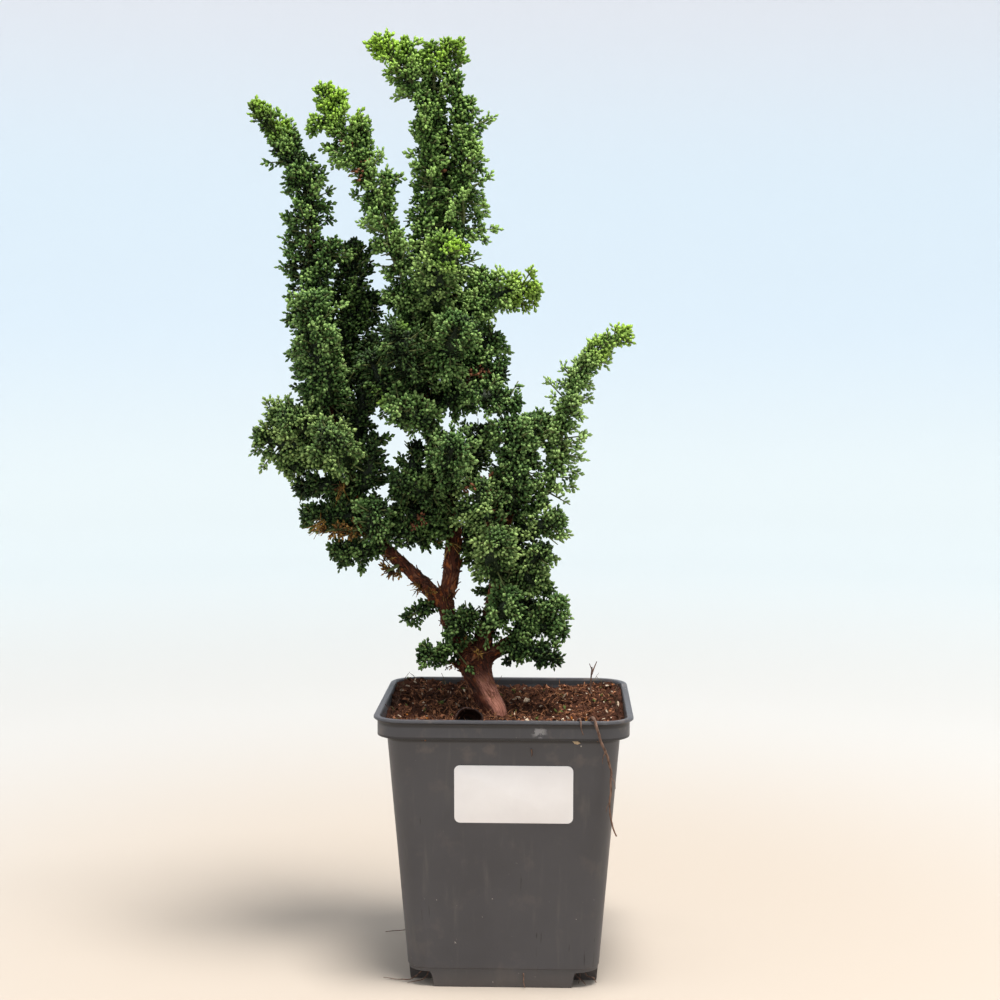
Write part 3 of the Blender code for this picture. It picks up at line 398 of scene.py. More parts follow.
# %% Tables of the tree
LIMBS = [
    ("trunk", [(-4.5, -8, 93, 5.3), (-4.5, -8, 100, 5.3), (-4.5, -8, 106.5, 5.3), (-4.7, -8, 113, 5.3),
               (-8, -6.5, 119, 5.3), (-12, -4, 127, 5.9), (-14, -2, 136, 7.4), (-14, -1.5, 141, 5.0)]),
    ("left_stem", [(-14, -2, 133, 5.2), (-20, -1, 143, 4.3), (-25, 0, 152, 3.6), (-28, 0, 163, 3.8)]),
    ("left_limb", [(-27, 0, 159, 3.4), (-35, -1, 167, 3.3), (-45, -2, 177, 2.7), (-53, -2, 184, 2.6),
                   (-60, -3, 194, 2.4), (-64, -3, 206, 2.2), (-69, -1, 218, 2.0), (-75, 1, 235, 1.8),
                   (-80, 2, 250, 1.5)]),
    ("leader", [(-28, 0, 159, 3.3), (-25, 1, 170, 3.5), (-24, 2, 182, 3.5), (-24, 3, 195, 3.0),
                (-28, 4, 212, 2.7), (-33, 4, 232, 2.4), (-36, 4, 255, 2.1), (-35, 4, 280, 1.8),
                (-33, 4, 300, 1.5)]),
    ("right_stem", [(-13, -2, 135, 4.8), (-9, -1, 147, 3.7), (-6, 0, 160, 3.0), (-4, 2, 175, 2.5),
                    (-2, 3, 190, 2.2), (3, 3, 203, 1.8)]),
    ("right_branch", [(-11, -3, 135, 3.4), (-2, -2, 141, 2.5), (5, -1, 147, 1.8)]),
    ("fork_stub", [(-14, -4, 133, 3.0), (-13, -10, 138, 2.2), (-12, -13, 141, 1.3)]),
    ("snag", [(-17, -2, 131, 2.4), (-23, -5, 134, 0.9)]),
    ("side_stub", [(-34, -1, 167, 2.2), (-36, -6, 169, 1.2)]),
]

SHOOTS = [
    ("left_plume", "mid", 13.5, 9,
     [(-80, 2, 250), (-84, 1, 262), (-87, 0, 285), (-87, 0, 312), (-88, 0, 338), (-94, 0, 356),
      (-110, 0, 377)]),
    ("left_shoulder", "dark", 13, 12,
     [(-77, 1, 241), (-74, 5, 248), (-72, 8, 262), (-70, 9, 284), (-68, 8, 317)]),
    ("left_back_plume", "dark", 13, 10,
     [(-78, 2, 244), (-81, 11, 252), (-87, 22, 268), (-91, 33, 292)]),
    ("left_front_plume", "mid", 13, 10,
     [(-79, 2, 247), (-79, -9, 254), (-81, -18, 270), (-82, -24, 294)]),
    ("bump_top", "light", 12, 11,
     [(-73, 0, 229), (-78, -8, 233), (-88, -19, 240), (-94, -24, 243)]),
    ("bump_left", "light", 12, 12,
     [(-70, -1, 221), (-77, -5, 224), (-90, -10, 230), (-107, -12, 234)]),
    ("bump_front", "light", 13, 11,
     [(-69, -1, 218), (-71, -10, 224), (-73, -24, 230), (-75, -31, 236)]),
    ("bump_back", "mid", 13, 10,
     [(-73, 0, 229), (-78, 9, 232), (-85, 20, 238), (-90, 28, 245)]),
    ("low_left_high", "dark", 11, 10,
     [(-66, -3, 210), (-71, -5, 211), (-79, -7, 213), (-90, -8, 212)]),
    ("low_left_middle", "dark", 10, 9,
     [(-60, -3, 194), (-66, -6, 197), (-75, -8, 199), (-87, -9, 200)]),
    ("low_left_tip", "dark", 9, 9,
     [(-54, -2, 185), (-59, -5, 185), (-66, -8, 184), (-75, -9, 184)]),
    ("low_left_back", "dark", 12, 10,
     [(-61, -3, 196), (-64, 6, 198), (-72, 17, 201), (-77, 24, 205)]),
    ("low_left_front", "mid", 11, 10,
     [(-58, -3, 191), (-58, -10, 193), (-57, -16, 198), (-56, -19, 204)]),
    ("inner_left", "dark", 10, 9,
     [(-66, -2, 210), (-62, -7, 213), (-59, -11, 222), (-58, -13, 233)]),
    ("centre_left_low", "dark", 11, 10,
     [(-24, 3, 194), (-31, -1, 196), (-39, -5, 199), (-46, -8, 203)]),
    ("centre_left_front", "dark", 11, 10,
     [(-26, 4, 206), (-31, -4, 208), (-37, -13, 212), (-47, -18, 214)]),
    ("centre_left_back", "dark", 12, 11,
     [(-26, 4, 204), (-31, 12, 206), (-41, 23, 209), (-48, 29, 212)]),
    ("centre_front", "mid", 12, 11,
     [(-28, 4, 212), (-28, -6, 215), (-25, -19, 223), (-21, -27, 233)]),
    ("centre_low_front", "light", 12, 11,
     [(-2, 3, 188), (-6, -4, 193), (-10, -11, 202), (-11, -16, 213)]),
    ("centre_right", "mid", 12, 12,
     [(2, 3, 201), (3, -4, 207), (4, -8, 220), (1, -10, 240)]),
    ("centre_back", "dark", 13, 11,
     [(-29, 4, 215), (-25, 12, 217), (-18, 25, 223), (-11, 32, 234)]),
    ("right_back_high", "dark", 13, 11,
     [(0, 3, 196), (0, 11, 202), (1, 22, 212), (3, 28, 224)]),
    ("bright_sprig", "fresh", 10, 9,
     [(-31, 4, 226), (-30, -7, 231), (-33, -16, 238), (-41, -22, 245), (-50, -24, 249)]),
    ("middle_front_left", "dark", 13, 12,
     [(-36, 4, 254), (-39, -6, 258), (-43, -19, 267), (-46, -29, 280)]),
    ("middle_front_right", "mid", 13, 12,
     [(-36, 4, 262), (-32, -6, 265), (-25, -18, 271), (-20, -27, 284)]),
    ("middle_front_outer", "dark", 12, 11,
     [(-35, 4, 244), (-41, -3, 247), (-52, -11, 256), (-59, -16, 268)]),
    ("middle_right_low", "mid", 11, 10,
     [(-35, 4, 250), (-28, 0, 251), (-15, -5, 252), (4, -8, 249)]),
    ("middle_right", "mid", 12, 10,
     [(-36, 4, 262), (-29, 3, 264), (-17, 1, 269), (-5, 0, 277)]),
    ("right_knob", "fresh", 11, 11,
     [(-35, 4, 277), (-27, 3, 281), (-15, 0, 288), (-4, -2, 296), (12, -2, 298)]),
    ("middle_left", "dark", 11, 10,
     [(-71, 0, 223), (-68, 2, 229), (-65, 3, 242), (-62, 3, 258), (-59, 3, 274)]),
    ("middle_back_left", "dark", 14, 12,
     [(-36, 4, 255), (-40, 13, 259), (-46, 26, 269), (-50, 36, 282)]),
    ("middle_back_right", "dark", 14, 12,
     [(-35, 4, 269), (-31, 13, 273), (-23, 25, 282), (-18, 33, 295)]),
    ("middle_back_outer", "dark", 13, 11,
     [(-35, 4, 246), (-42, 11, 248), (-56, 20, 256), (-65, 27, 268)]),
    ("middle_back_low", "dark", 13, 11,
     [(-36, 4, 252), (-29, 11, 253), (-19, 24, 255), (-10, 32, 259)]),
    ("column_left", "mid", 11, 9,
     [(-33, 4, 300), (-34, 2, 308), (-35, 0, 328), (-33, 0, 350), (-35, 0, 370), (-41, 0, 386),
      (-49, 0, 397), (-56, 0, 405)]),
    ("column_right", "mid", 12.5, 9,
     [(-34, 4, 292), (-27, 3, 298), (-20, 2, 322), (-19, 2, 350), (-19, 2, 368), (-23, 1, 384),
      (-26, 0, 403)]),
    ("column_back", "dark", 13, 10,
     [(-35, 4, 288), (-35, 13, 294), (-31, 20, 322), (-28, 18, 348), (-31, 12, 370)]),
    ("column_front", "light", 13, 11,
     [(-35, 4, 284), (-33, -6, 290), (-29, -18, 303), (-25, -25, 318)]),
    ("second_plume", "mid", 12, 9,
     [(-35, 4, 280), (-41, 0, 286), (-48, -4, 312), (-56, -4, 335), (-65, -3, 354), (-74, -2, 370),
      (-80, -2, 384)]),
    ("right_plume", "fresh", 11.5, 8,
     [(3, 3, 203), (11, 2, 203), (20, 0, 213), (23, -1, 228), (26, -2, 245), (31, -2, 260),
      (39, -2, 272), (51, -2, 279)]),
    ("right_outer_high", "light", 11, 10,
     [(-2, 3, 187), (5, 0, 190), (13, -3, 194), (23, -4, 198)]),
    ("right_outer_middle", "light", 11, 10,
     [(-4, 2, 176), (3, -1, 178), (11, -5, 181), (17, -6, 184)]),
    ("right_low", "mid", 9, 8,
     [(4, -1, 146), (9, -2, 151), (15, -5, 156), (24, -5, 161)]),
    ("right_foot", "dark", 8, 8,
     [(3, -1, 145), (7, -4, 143), (13, -7, 140), (22, -8, 136)]),
    ("right_back", "dark", 12, 10,
     [(-5, 1, 165), (-2, 9, 166), (4, 19, 169), (8, 26, 176)]),
    ("right_front_high", "light", 12, 10,
     [(-4, 2, 174), (-5, -6, 176), (-5, -14, 183), (-3, -20, 192)]),
    ("right_front_low", "mid", 11, 10,
     [(-8, -1, 150), (-5, -7, 153), (-1, -12, 159), (2, -14, 166)]),
    ("right_inner", "dark", 11, 11,
     [(-3, 2, 181), (-8, 6, 182), (-14, 9, 185), (-17, 10, 191)]),
    ("fork_sprig", "dark", 9, 9,
     [(-23, -1, 148), (-20, -7, 150), (-17, -10, 154), (-15, -11, 158)]),
    ("low_sprig", "dark", 9, 9,
     [(-17, -2, 140), (-22, -6, 140), (-27, -9, 139), (-36, -10, 139)]),
    ("twig_sprig", "dark", 5, 5,
     [(-28, 0, 161), (-34, -1, 159), (-38, -2, 157), (-43, -3, 154)]),
]

FORKS = [
    ("left_plume", 9, 8, [(-87, 0, 300), (-79, -4, 310), (-76, -4, 318)]),
    ("left_shoulder", 8, 7, [(-70, 9, 283), (-62, 5, 289), (-60, 4, 295)]),
    ("left_plume", 8, 7, [(-89, 0, 343), (-92, 1, 356), (-94, 1, 364)]),
    ("bump_top", 10, 9, [(-88, -19, 240), (-98, -14, 243), (-101, -12, 243)]),
    ("bump_left", 10, 9, [(-84, -8, 228), (-92, -9, 221), (-96, -9, 221)]),
    ("centre_left_low", 10, 10, [(-36, -3, 198), (-44, -6, 193), (-51, -7, 192)]),
    ("centre_left_low", 9, 10, [(-33, -2, 197), (-34, -3, 190), (-35, -3, 187)]),
    ("centre_left_front", 8, 8, [(-36, -13, 211), (-40, -12, 220), (-39, -10, 230)]),
    ("centre_low_front", 9, 9, [(-7, -6, 195), (-15, -9, 198), (-19, -10, 203)]),
    ("centre_right", 9, 9, [(4, -6, 213), (10, -5, 225), (11, -5, 241)]),
    ("middle_right", 10, 9, [(-22, 2, 266), (-10, -2, 262), (-2, -3, 261)]),
    ("right_knob", 9, 8, [(-17, 0, 287), (-13, 2, 299), (-12, 2, 306)]),
    ("column_left", 10, 9, [(-34, 0, 366), (-32, 2, 382), (-33, 2, 403)]),
    ("column_left", 7, 7, [(-42, 0, 388), (-43, 1, 399), (-44, 1, 403)]),
    ("second_plume", 8, 7, [(-64, -3, 352), (-63, -2, 364), (-64, -2, 370)]),
    ("second_plume", 6, 6, [(-73, -2, 368), (-81, -3, 371), (-84, -3, 368)]),
    ("second_plume", 7, 7, [(-73, -2, 368), (-74, -2, 378), (-74, -2, 382)]),
    ("second_plume", 7, 7, [(-55, -4, 331), (-52, -3, 341), (-51, -2, 346)]),
    ("second_plume", 8, 7, [(-47, -3, 306), (-52, -6, 317), (-55, -7, 318)]),
    ("second_plume", 9, 9, [(-43, -1, 289), (-48, 2, 291), (-51, 2, 296)]),
    ("right_plume", 9, 8, [(23, -1, 224), (17, 2, 236), (15, 2, 243)]),
    ("right_outer_middle", 10, 9, [(4, -2, 178), (12, -2, 170), (18, -3, 167)]),
    ("right_low", 8, 8, [(9, -2, 151), (17, -2, 150), (25, -2, 149)]),
    ("right_foot", 7, 6, [(7, -4, 143), (3, -7, 138), (2, -8, 136)]),
    ("right_back", 10, 9, [(0, 12, 167), (6, 14, 158), (11, 15, 153)]),
]

DEAD_SPRIGS = [
    ("dead_sprig_limb", "dead", 7, 5, [(-46, -2, 178), (-48, -5, 177), (-50, -7, 176), (-52, -8, 175)]),
    ("dead_sprig_low", "dead", 7, 5, [(-59, -3, 193), (-69, -15, 194), (-74, -17, 194), (-78, -17, 193)]),
]

SKY_GAPS = [(-47, 232, 3.0), (-39, 224.5, 0.8), (-26, 241, 1.2), (-20, 241.5, 1.2), (-13, 241.5, 1.6),
            (17, 232, 1.4), (14, 227, 1.4), (11, 217, 2.2), (5, 208.5, 1.8), (-56, 210, 2.0),
            (-36, 173.5, 5.6), (-31, 171, 3.0), (-17, 163, 2.4), (-13, 158, 1.6), (-12, 172, 1.0),
            (-58, 290, 1.6), (-53, 311, 4.2), (-54, 322, 1.6), (-46, 395, 2.0), (-20, 194, 1.2)]

FRESH_GROWTH = [(-54, 0, 404, 19), (-28, 0, 402, 14), (-79, -2, 386, 26), (-64, -2, 376, 10),
                (-110, 0, 379, 12), (-100, 0, 367, 9), (51, -2, 281, 14), (41, -2, 273, 10),
                (9, -2, 299, 16), (-56, -25, 251, 8), (-19, -31, 318, 17),
                (-43, -30, 283, 6)]       # x, y, z and reach
LIGHTER = {"bright_sprig": -0.08, "left_plume": -0.11, "middle_front_left": -0.10,
           "left_shoulder": -0.08, "middle_left": -0.10, "second_plume": 0.17, "right_plume": 0.21,
           "column_left": 0.13, "column_right": 0.11, "column_front": 0.05, "middle_front_outer": -0.08,
           "bump_left": 0.06, "bump_top": 0.09, "right_front_high": 0.06, "right_outer_high": 0.05,
           "low_sprig": 0.03}             # added to how far out a leaf of the shoot seems to be: painted light on the shoots that get more, painted shade on those that get less
SEEN_FROM = (22.7, -834.0, 268.6)         # the gaps are see-through from this place in front
LOWEST_LEAF = 122.0
OFF_GRID = (0.31, 0.17, 0.93)             # a direction that no stem follows
print("limbs", len(LIMBS), "shoots", len(SHOOTS), "side stems", len(FORKS))

# %% Smooth ways and distances


def smooth_path(points, step=1.5):
    """Points about one step apart on a smooth curve through the given ones."""
    given = np.array(points, dtype=float)
    ends = np.vstack([2 * given[0] - given[1], given, 2 * given[-1] - given[-2]])
    made = []
    for i in range(1, len(ends) - 2):
        p0, p1, p2, p3 = ends[i - 1:i + 3]
        count = max(1, round(np.linalg.norm((p2 - p1)[:3]) / step))
        for t in np.arange(count) / count:
            made.append(0.5 * (2 * p1 + (p2 - p0) * t + (2 * p0 - 5 * p1 + 4 * p2 - p3) * t * t
                               + (3 * p1 - p0 - 3 * p2 + p3) * t ** 3))
    made.append(given[-1])
    return np.array(made)


def unit(vectors):
    return vectors / np.maximum(np.linalg.norm(vectors, axis=-1, keepdims=True), 1e-9)


def frame_along(path):
    """At each point of a way: the direction ahead and two directions across it."""
    ahead = unit(np.gradient(path, axis=0))
    side = unit(np.cross(ahead, OFF_GRID))
    return ahead, side, np.cross(ahead, side)


CHUNK = 400                               # points that are measured at once, to save memory


def nearest(points, targets):
    """Distance from each point to its nearest target, and that target's number."""
    distance, number = [], []
    for part in np.array_split(np.asarray(points), max(1, len(points) // CHUNK)):
        table = np.linalg.norm(part[:, None, :] - targets[None, :, :], axis=2)
        number.append(table.argmin(axis=1))
        distance.append(table.min(axis=1))
    return np.concatenate(distance), np.concatenate(number)


WOOD = np.vstack([smooth_path(points, 1.0) for _, points in LIMBS])
SPINES = {}
for shoot, _, _, _, way in SHOOTS + DEAD_SPRIGS:
    stems = [smooth_path(way)] + [smooth_path(fork) for owner, _, _, fork in FORKS if owner == shoot]
    SPINES[shoot] = np.vstack(stems)
SPINE_POINTS = np.vstack(list(SPINES.values()))
SPINE_OWNER = np.concatenate([[name] * len(points) for name, points in SPINES.items()])


def own_room(shoot, points):
    """How much nearer each point is to its own shoot's stems than to any other's."""
    own = nearest(points, SPINES[shoot])[0]
    others = nearest(points, SPINE_POINTS[SPINE_OWNER != shoot])[0]
    return others - own


def wood_room(points):
    """How far each point lies outside the wood."""
    table = [(np.linalg.norm(part[:, None, :] - WOOD[None, :, :3], axis=2) - WOOD[:, 3]).min(axis=1)
             for part in np.array_split(points, max(1, len(points) // CHUNK))]
    return np.concatenate(table)


def in_sky_gap(points):
    """Whether each point hides a see-through place, as seen from the front."""
    eye = np.array(SEEN_FROM)
    seen = eye + (points - eye) * (-eye[1] / (points[:, 1:2] - eye[1]))
    hidden = np.zeros(len(points), bool)
    for x, z, radius in SKY_GAPS:
        hidden |= np.hypot(seen[:, 0] - x, seen[:, 2] - z) < radius
    return hidden


print("stem points", len(SPINE_POINTS), "wood points", len(WOOD))

# %% A tube along a way


def strand(name, points, radii, sides):
    """A round tube of changing radius: a curve with a bevel, turned into a closed mesh."""
    curve = bpy.data.curves.new(name, "CURVE")
    curve.dimensions = "3D"
    curve.bevel_depth = MM
    curve.bevel_resolution = max(0, (sides - 4) // 2)
    curve.use_fill_caps = True
    spline = curve.splines.new("POLY")
    spline.points.add(len(points) - 1)
    for knot, point, radius in zip(spline.points, points, radii):
        knot.co = (*[MM * value for value in point[:3]], 1.0)
        knot.radius = radius
    obj = bpy.data.objects.new(name, curve)
    bpy.context.scene.collection.objects.link(obj)
    make_active(obj)
    bpy.ops.object.convert(target="MESH")
    obj = bpy.context.object
    obj.name = obj.data.name = name
    outward(obj)
    return obj


def joined(name, objects):
    """Several objects as one, as with the join command."""
    deselect_everything()
    for obj in objects:
        obj.select_set(True)
    bpy.context.view_layer.objects.active = objects[0]
    if len(objects) > 1:
        bpy.ops.object.join()
    made = bpy.context.object
    made.name = made.data.name = name
    return made


# %% [markdown]
# ## Trunk and limbs
#
# Old hinoki bark is red-brown and comes off in long soft fibres, and under them the wood is orange. The
# limbs could be sculpted by hand. Here tubes along the ways are melted together by a voxel remesh, which
# gives natural forks, and the points are then moved in and out by a noise that is stretched along each
# limb. Thin curled flakes, modelled once, stand off the surface.

# %% Melt the limbs together
BURIED_SWELL = 1.6                        # how much thicker the trunk gets down in the mix
BARK_VOXEL = 0.8 * MM
limb_tubes = []
for name, points in LIMBS:
    path = smooth_path(points, 2.0)
    swell = [1 + 0.10 * noise.noise(Vector(p[:3]) * 0.2) for p in path]
    if name == "trunk":
        path[:, 3] += BURIED_SWELL * np.clip((104 - path[:, 2]) / 12, 0, 1)
    limb_tubes.append(strand(name, path, path[:, 3] * swell, 14))
bark = joined("bark", limb_tubes)
apply_modifier(bark, "REMESH", mode="VOXEL", voxel_size=BARK_VOXEL, adaptivity=0.0)
print("bark after the remesh:", len(bark.data.polygons), "faces")

# %% Fibres of the bark
LIMB_APART = 37.0                         # added after each limb, so that no two have the same fibres


def mesh_points(obj):
    points = np.zeros(len(obj.data.vertices) * 3)
    obj.data.vertices.foreach_get("co", points)
    return points.reshape(-1, 3)


def mesh_normals(obj):
    normals = np.zeros(len(obj.data.vertices) * 3, np.float32)
    obj.data.vertex_normals.foreach_get("vector", normals)
    return normals.reshape(-1, 3).astype(float)


def grain_of(points):
    """Place of each point on its limb: millimetres along it, and around it, from a fixed side."""
    along, around = np.zeros(len(points)), np.zeros(len(points))
    best = np.full(len(points), 1e9)
    run = 0.0
    for _, row in LIMBS:
        path = smooth_path(row, 1.0)
        distance, number = nearest(points, path[:, :3])
        length = np.concatenate([[0], np.cumsum(np.linalg.norm(np.diff(path[:, :3], axis=0), axis=1))])
        ahead = unit(np.gradient(path[:, :3], axis=0))
        side = unit(np.cross(ahead, (0.3, 1.0, 0.1)))
        other = np.cross(ahead, side)
        out = points - path[number, :3]
        angle = np.arctan2((out * other[number]).sum(1), (out * side[number]).sum(1))
        nearer = distance - path[number, 3] < best
        best = np.where(nearer, distance - path[number, 3], best)
        slide = (out * ahead[number]).sum(1)
        along = np.where(nearer, run + length[number] + slide, along)
        around = np.where(nearer, angle * np.maximum(distance, 1.0), around)
        run += length[-1] + LIMB_APART
    return along, around


bark_points = mesh_points(bark)
along, around = grain_of(bark_points / MM)
normals = mesh_normals(bark)
lift = np.zeros(len(bark_points))
for i, (s, a) in enumerate(zip(along, around)):
    fibre = noise.noise(Vector((a * 0.95, s * 0.10, 1.7)))
    fine = noise.noise(Vector((a * 2.1, s * 0.22, 6.1)))
    lump = noise.noise(Vector((a * 0.16, s * 0.11, 3.3)))
    plate = noise.noise(Vector((a * 0.42, s * 0.16, 9.9)))
    lift[i] = 0.42 * (1 - 2 * abs(fibre)) + 0.20 * fine + 0.55 * lump + 0.30 * (plate > 0.08)
lift *= np.clip((bark_points[:, 2] / MM - 108) / 18, 0.3, 1)
bark_points += normals * (lift - 0.25)[:, None] * MM
bark.data.vertices.foreach_set("co", bark_points.ravel())
bark.data.update()
print("bark relief from", round(lift.min(), 2), "to", round(lift.max(), 2), "mm")

# %% One flake of bark
deselect_everything()
bpy.ops.mesh.primitive_grid_add(x_subdivisions=5, y_subdivisions=2, size=1.0)
flake = active_object("bark_flake")
start_edit(flake)
for end, turn, lift_by in ((0.5, 0.45, 0.16), (0.3, 0.9, 0.05)):
    choose(flake, "VERT", lambda co: co.x > end - 0.05)
    bpy.ops.transform.resize(value=(1, 0.7, 1), center_override=(0, 0, 0))
    bpy.ops.transform.translate(value=(0, 0, lift_by))
choose(flake, "VERT", lambda co: abs(co.y) < 0.1)
bpy.ops.transform.translate(value=(0, 0, 0.07))
choose(flake, "VERT", lambda co: co.x < -0.45)
bpy.ops.transform.resize(value=(1, 0.45, 1), center_override=(-0.5, 0, 0))
bpy.ops.transform.translate(value=(0, 0, -0.05))
bpy.ops.mesh.select_all(action="SELECT")
bpy.ops.transform.translate(value=(0.5, 0, 0))
end_edit()
apply_modifier(flake, "SOLIDIFY", thickness=0.05, offset=0.0)
apply_modifier(flake, "TRIANGULATE")
print("one flake:", len(flake.data.polygons), "triangles")

# %% Copies of a small shape


def shape_of(obj):
    """Points and triangles of a small model that is going to be repeated."""
    faces = np.array([face.vertices[:] for face in obj.data.polygons])
    return mesh_points(obj), faces


def placed_copies(shape, places, first, second, third):
    """Copies of a shape: its X, Y and Z run along the three given vectors of each copy."""
    points, faces = shape
    made = (places[:, None, :] + points[None, :, 0:1] * first[:, None, :]
            + points[None, :, 1:2] * second[:, None, :] + points[None, :, 2:3] * third[:, None, :])
    steps = np.arange(len(places))[:, None, None] * len(points)
    return made.reshape(-1, 3), (faces[None, :, :] + steps).reshape(-1, 3)


def stacked(parts):
    """Several sets of points, triangles and colours as one."""
    points, faces, colours, count = [], [], [], 0
    for these_points, these_faces, these_colours in parts:
        points.append(these_points)
        faces.append(these_faces + count)
        colours.append(these_colours)
        count += len(these_points)
    return np.vstack(points), np.vstack(faces), np.vstack(colours)


def new_mesh(name, points, faces, colours=None):
    """A mesh from points in metres and triangles, with a colour for each point."""
    mesh = bpy.data.meshes.new(name)
    mesh.vertices.add(len(points))
    mesh.vertices.foreach_set("co", np.asarray(points, np.float32).ravel())
    mesh.loops.add(len(faces) * 3)
    mesh.loops.foreach_set("vertex_index", np.asarray(faces, np.int32).ravel())
    mesh.polygons.add(len(faces))
    mesh.polygons.foreach_set("loop_start", np.arange(0, len(faces) * 3, 3, dtype=np.int32))
    mesh.update(calc_edges=True)
    mesh.validate()
    mesh.shade_smooth()
    if colours is not None:
        tones = mesh.color_attributes.new("tones", "FLOAT_COLOR", "POINT")
        tones.data.foreach_set("color", np.asarray(colours, np.float32).ravel())
    obj = bpy.data.objects.new(name, mesh)
    bpy.context.scene.collection.objects.link(obj)
    return obj


# %% Flakes that stand off the bark
FLAKE_COUNT = 650
LOWEST_FLAKE = 121                        # the foot of the trunk has lost its flakes


def flakes_on(obj, count, rng):
    """Flakes at random points of the bark, along the grain, with one end free."""
    points, normals = mesh_points(obj) / MM, mesh_normals(obj)
    able = np.flatnonzero(points[:, 2] > LOWEST_FLAKE)
    chosen = rng.choice(able, count, replace=False)
    place, normal = points[chosen], normals[chosen]
    number = nearest(place, WOOD[:, :3])[1]
    ahead = np.gradient(WOOD[:, :3], axis=0)[number]
    ahead = unit(ahead - normal * (ahead * normal).sum(1)[:, None])
    ahead *= rng.choice((-1.0, 1.0), count)[:, None]
    across = np.cross(normal, ahead)
    turn = rng.normal(0, 0.35, count)[:, None]
    first = unit(ahead * np.cos(turn) + across * np.sin(turn))
    second = np.cross(normal, first)
    limb_size = 0.6 + 0.25 * np.minimum(WOOD[number, 3], 5)
    length = rng.uniform(1.8, 6.5, count)[:, None] * limb_size[:, None] * 0.62
    wide = rng.uniform(0.5, 1.5, count)[:, None]
    rise = rng.uniform(2.0, 7.5, count)[:, None] * 0.6
    made, faces = placed_copies(shape_of(flake), (place - normal * 0.15) * MM, first * length * MM,
                                second * wide * MM, normal * rise * MM)
    shade = np.repeat(rng.uniform(0, 1, count), len(flake.data.vertices))
    return made, faces, np.stack([shade, shade * 0, shade * 0, shade * 0 + 1], axis=1)


bark_colours = np.tile((0.5, 0.0, 0.0, 0.0), (len(bark_points), 1))
apply_modifier(bark, "TRIANGULATE")
bark_shape = shape_of(bark)
made = stacked([(*bark_shape, bark_colours), flakes_on(bark, FLAKE_COUNT, np.random.default_rng(5))])
trunk = new_mesh("trunk_with_bark", *made)
grain = grain_of(made[0] / MM)
fibres = trunk.data.attributes.new("fibres", "FLOAT_VECTOR", "POINT")
grain = np.stack([grain[1], grain[0], grain[0] * 0], 1)
fibres.data.foreach_set("vector", grain.astype(np.float32).ravel())
for spare in (bark, flake):
    bpy.data.objects.remove(spare)
print("trunk:", len(made[1]), "triangles")

# %% Bark finish
FOOT_LOW, FOOT_HIGH = 0.122, 0.134        # heights between which the pale right side of the foot ends: scarred bark, with painted light on it
LEAN = 0.57                               # how far the foot's middle moves left for each metre up
bark_finish = Finish("red_brown_bark", 0.88, specular=0.25)
fibre_read = add_node(bark_finish.tree, "ShaderNodeAttribute", attribute_name="fibres").outputs["Vector"]
streaks = bark_finish.grain((0.55, 6.0, 1.0), 4.0, fibre_read)
patches = bark_finish.grain((2.2, 5.0, 1.0), 4.0, fibre_read)
shade = bark_finish.attribute("tones")
across, _, up = bark_finish.axes()
# The right side of the foot is painted pale and pinkish: partly the colour of the scarred bark, partly
# painted light falling from the right.
leaning = bark_finish.math("MULTIPLY_ADD", up, LEAN, 0.0047 - LEAN * 0.113)
right_side = bark_finish.span(bark_finish.math("ADD", across, leaning), -0.0015, 0.0015)
worn_and_lit_foot = bark_finish.math("MULTIPLY", bark_finish.span(up, FOOT_HIGH, FOOT_LOW), right_side)
dark_bark = bark_finish.mix(worn_and_lit_foot, (0.018, 0.0055, 0.003), (0.150, 0.050, 0.032))
mid_bark = bark_finish.mix(worn_and_lit_foot, (0.085, 0.0205, 0.0085), (0.420, 0.180, 0.125))
streaked = bark_finish.mix(bark_finish.span(streaks, 0.36, 0.62), dark_bark, mid_bark)
pale = bark_finish.mix(bark_finish.span(patches, 0.56, 0.72), streaked, (0.165, 0.068, 0.036))
is_orange = bark_finish.math("MULTIPLY", bark_finish.span(patches, 0.45, 0.36),
                             bark_finish.span(up, FOOT_LOW, FOOT_HIGH))
orange = bark_finish.mix(is_orange, pale, (0.25, 0.070, 0.018))
is_flake = bark_finish.math("MULTIPLY", shade[3], bark_finish.span(shade[0], 0.3, 1.0))
flaked = bark_finish.mix(is_flake, orange, (0.20, 0.085, 0.040))
bark_finish.bump(streaks, 0.0007, 0.8)
bark_finish.bump(bark_finish.group(SCALES, Size=0.0016), 0.0003, 0.5)
trunk.data.materials.append(bark_finish.colour(flaked))
keep(trunk, "bark", "trunk_and_branches", smooth=40)
print("bark finish:", trunk.data.materials[0].name)

# %% [markdown]
# ## Leaves
#
# The smallest thing that the eye picks out in the crown is a blunt green bud about two millimetres wide,
# covered with scale leaves. Three of them spread from one point as a small fan, and a handful of fans stand
# around the end of a thin side twig as a plump tuft. Such twigs leave every stem nearly level. The bud
# could be cut out of a sphere, but it comes thousands of times and has to stay small, so it is modelled
# once from a four-sided cone whose filled end is pulled out. Three kinds of fans are put together from
# it, and the sprays are laid out by the golden angle, as the real buds are.

# %% One bud


def bud_model():
    """A blunt bud of unit length along X, with its pointed root at the origin: a four-sided cone whose
    filled end is pulled out into a cap."""
    deselect_everything()
    bpy.ops.mesh.primitive_cone_add(vertices=4, radius1=0.5, radius2=0.0, depth=1.0,
                                    end_fill_type="TRIFAN", location=(0.5, 0, 0),
                                    rotation=(0, -math.pi / 2, 0))
    obj = active_object("bud")
    start_edit(obj)
    choose(obj, "VERT", lambda co: co.x > 0.9 and co.yz.length > 0.1)
    bpy.ops.transform.translate(value=(-0.34, 0, 0))
    bpy.ops.transform.resize(value=(1, 0.66, 0.54), center_override=(0, 0, 0))
    end_edit()
    apply_modifier(obj, "TRIANGULATE")
    outward(obj)
    return obj


bud = bud_model()
BUD = shape_of(bud)
bpy.data.objects.remove(bud)
print("one bud:", len(BUD[1]), "triangles")

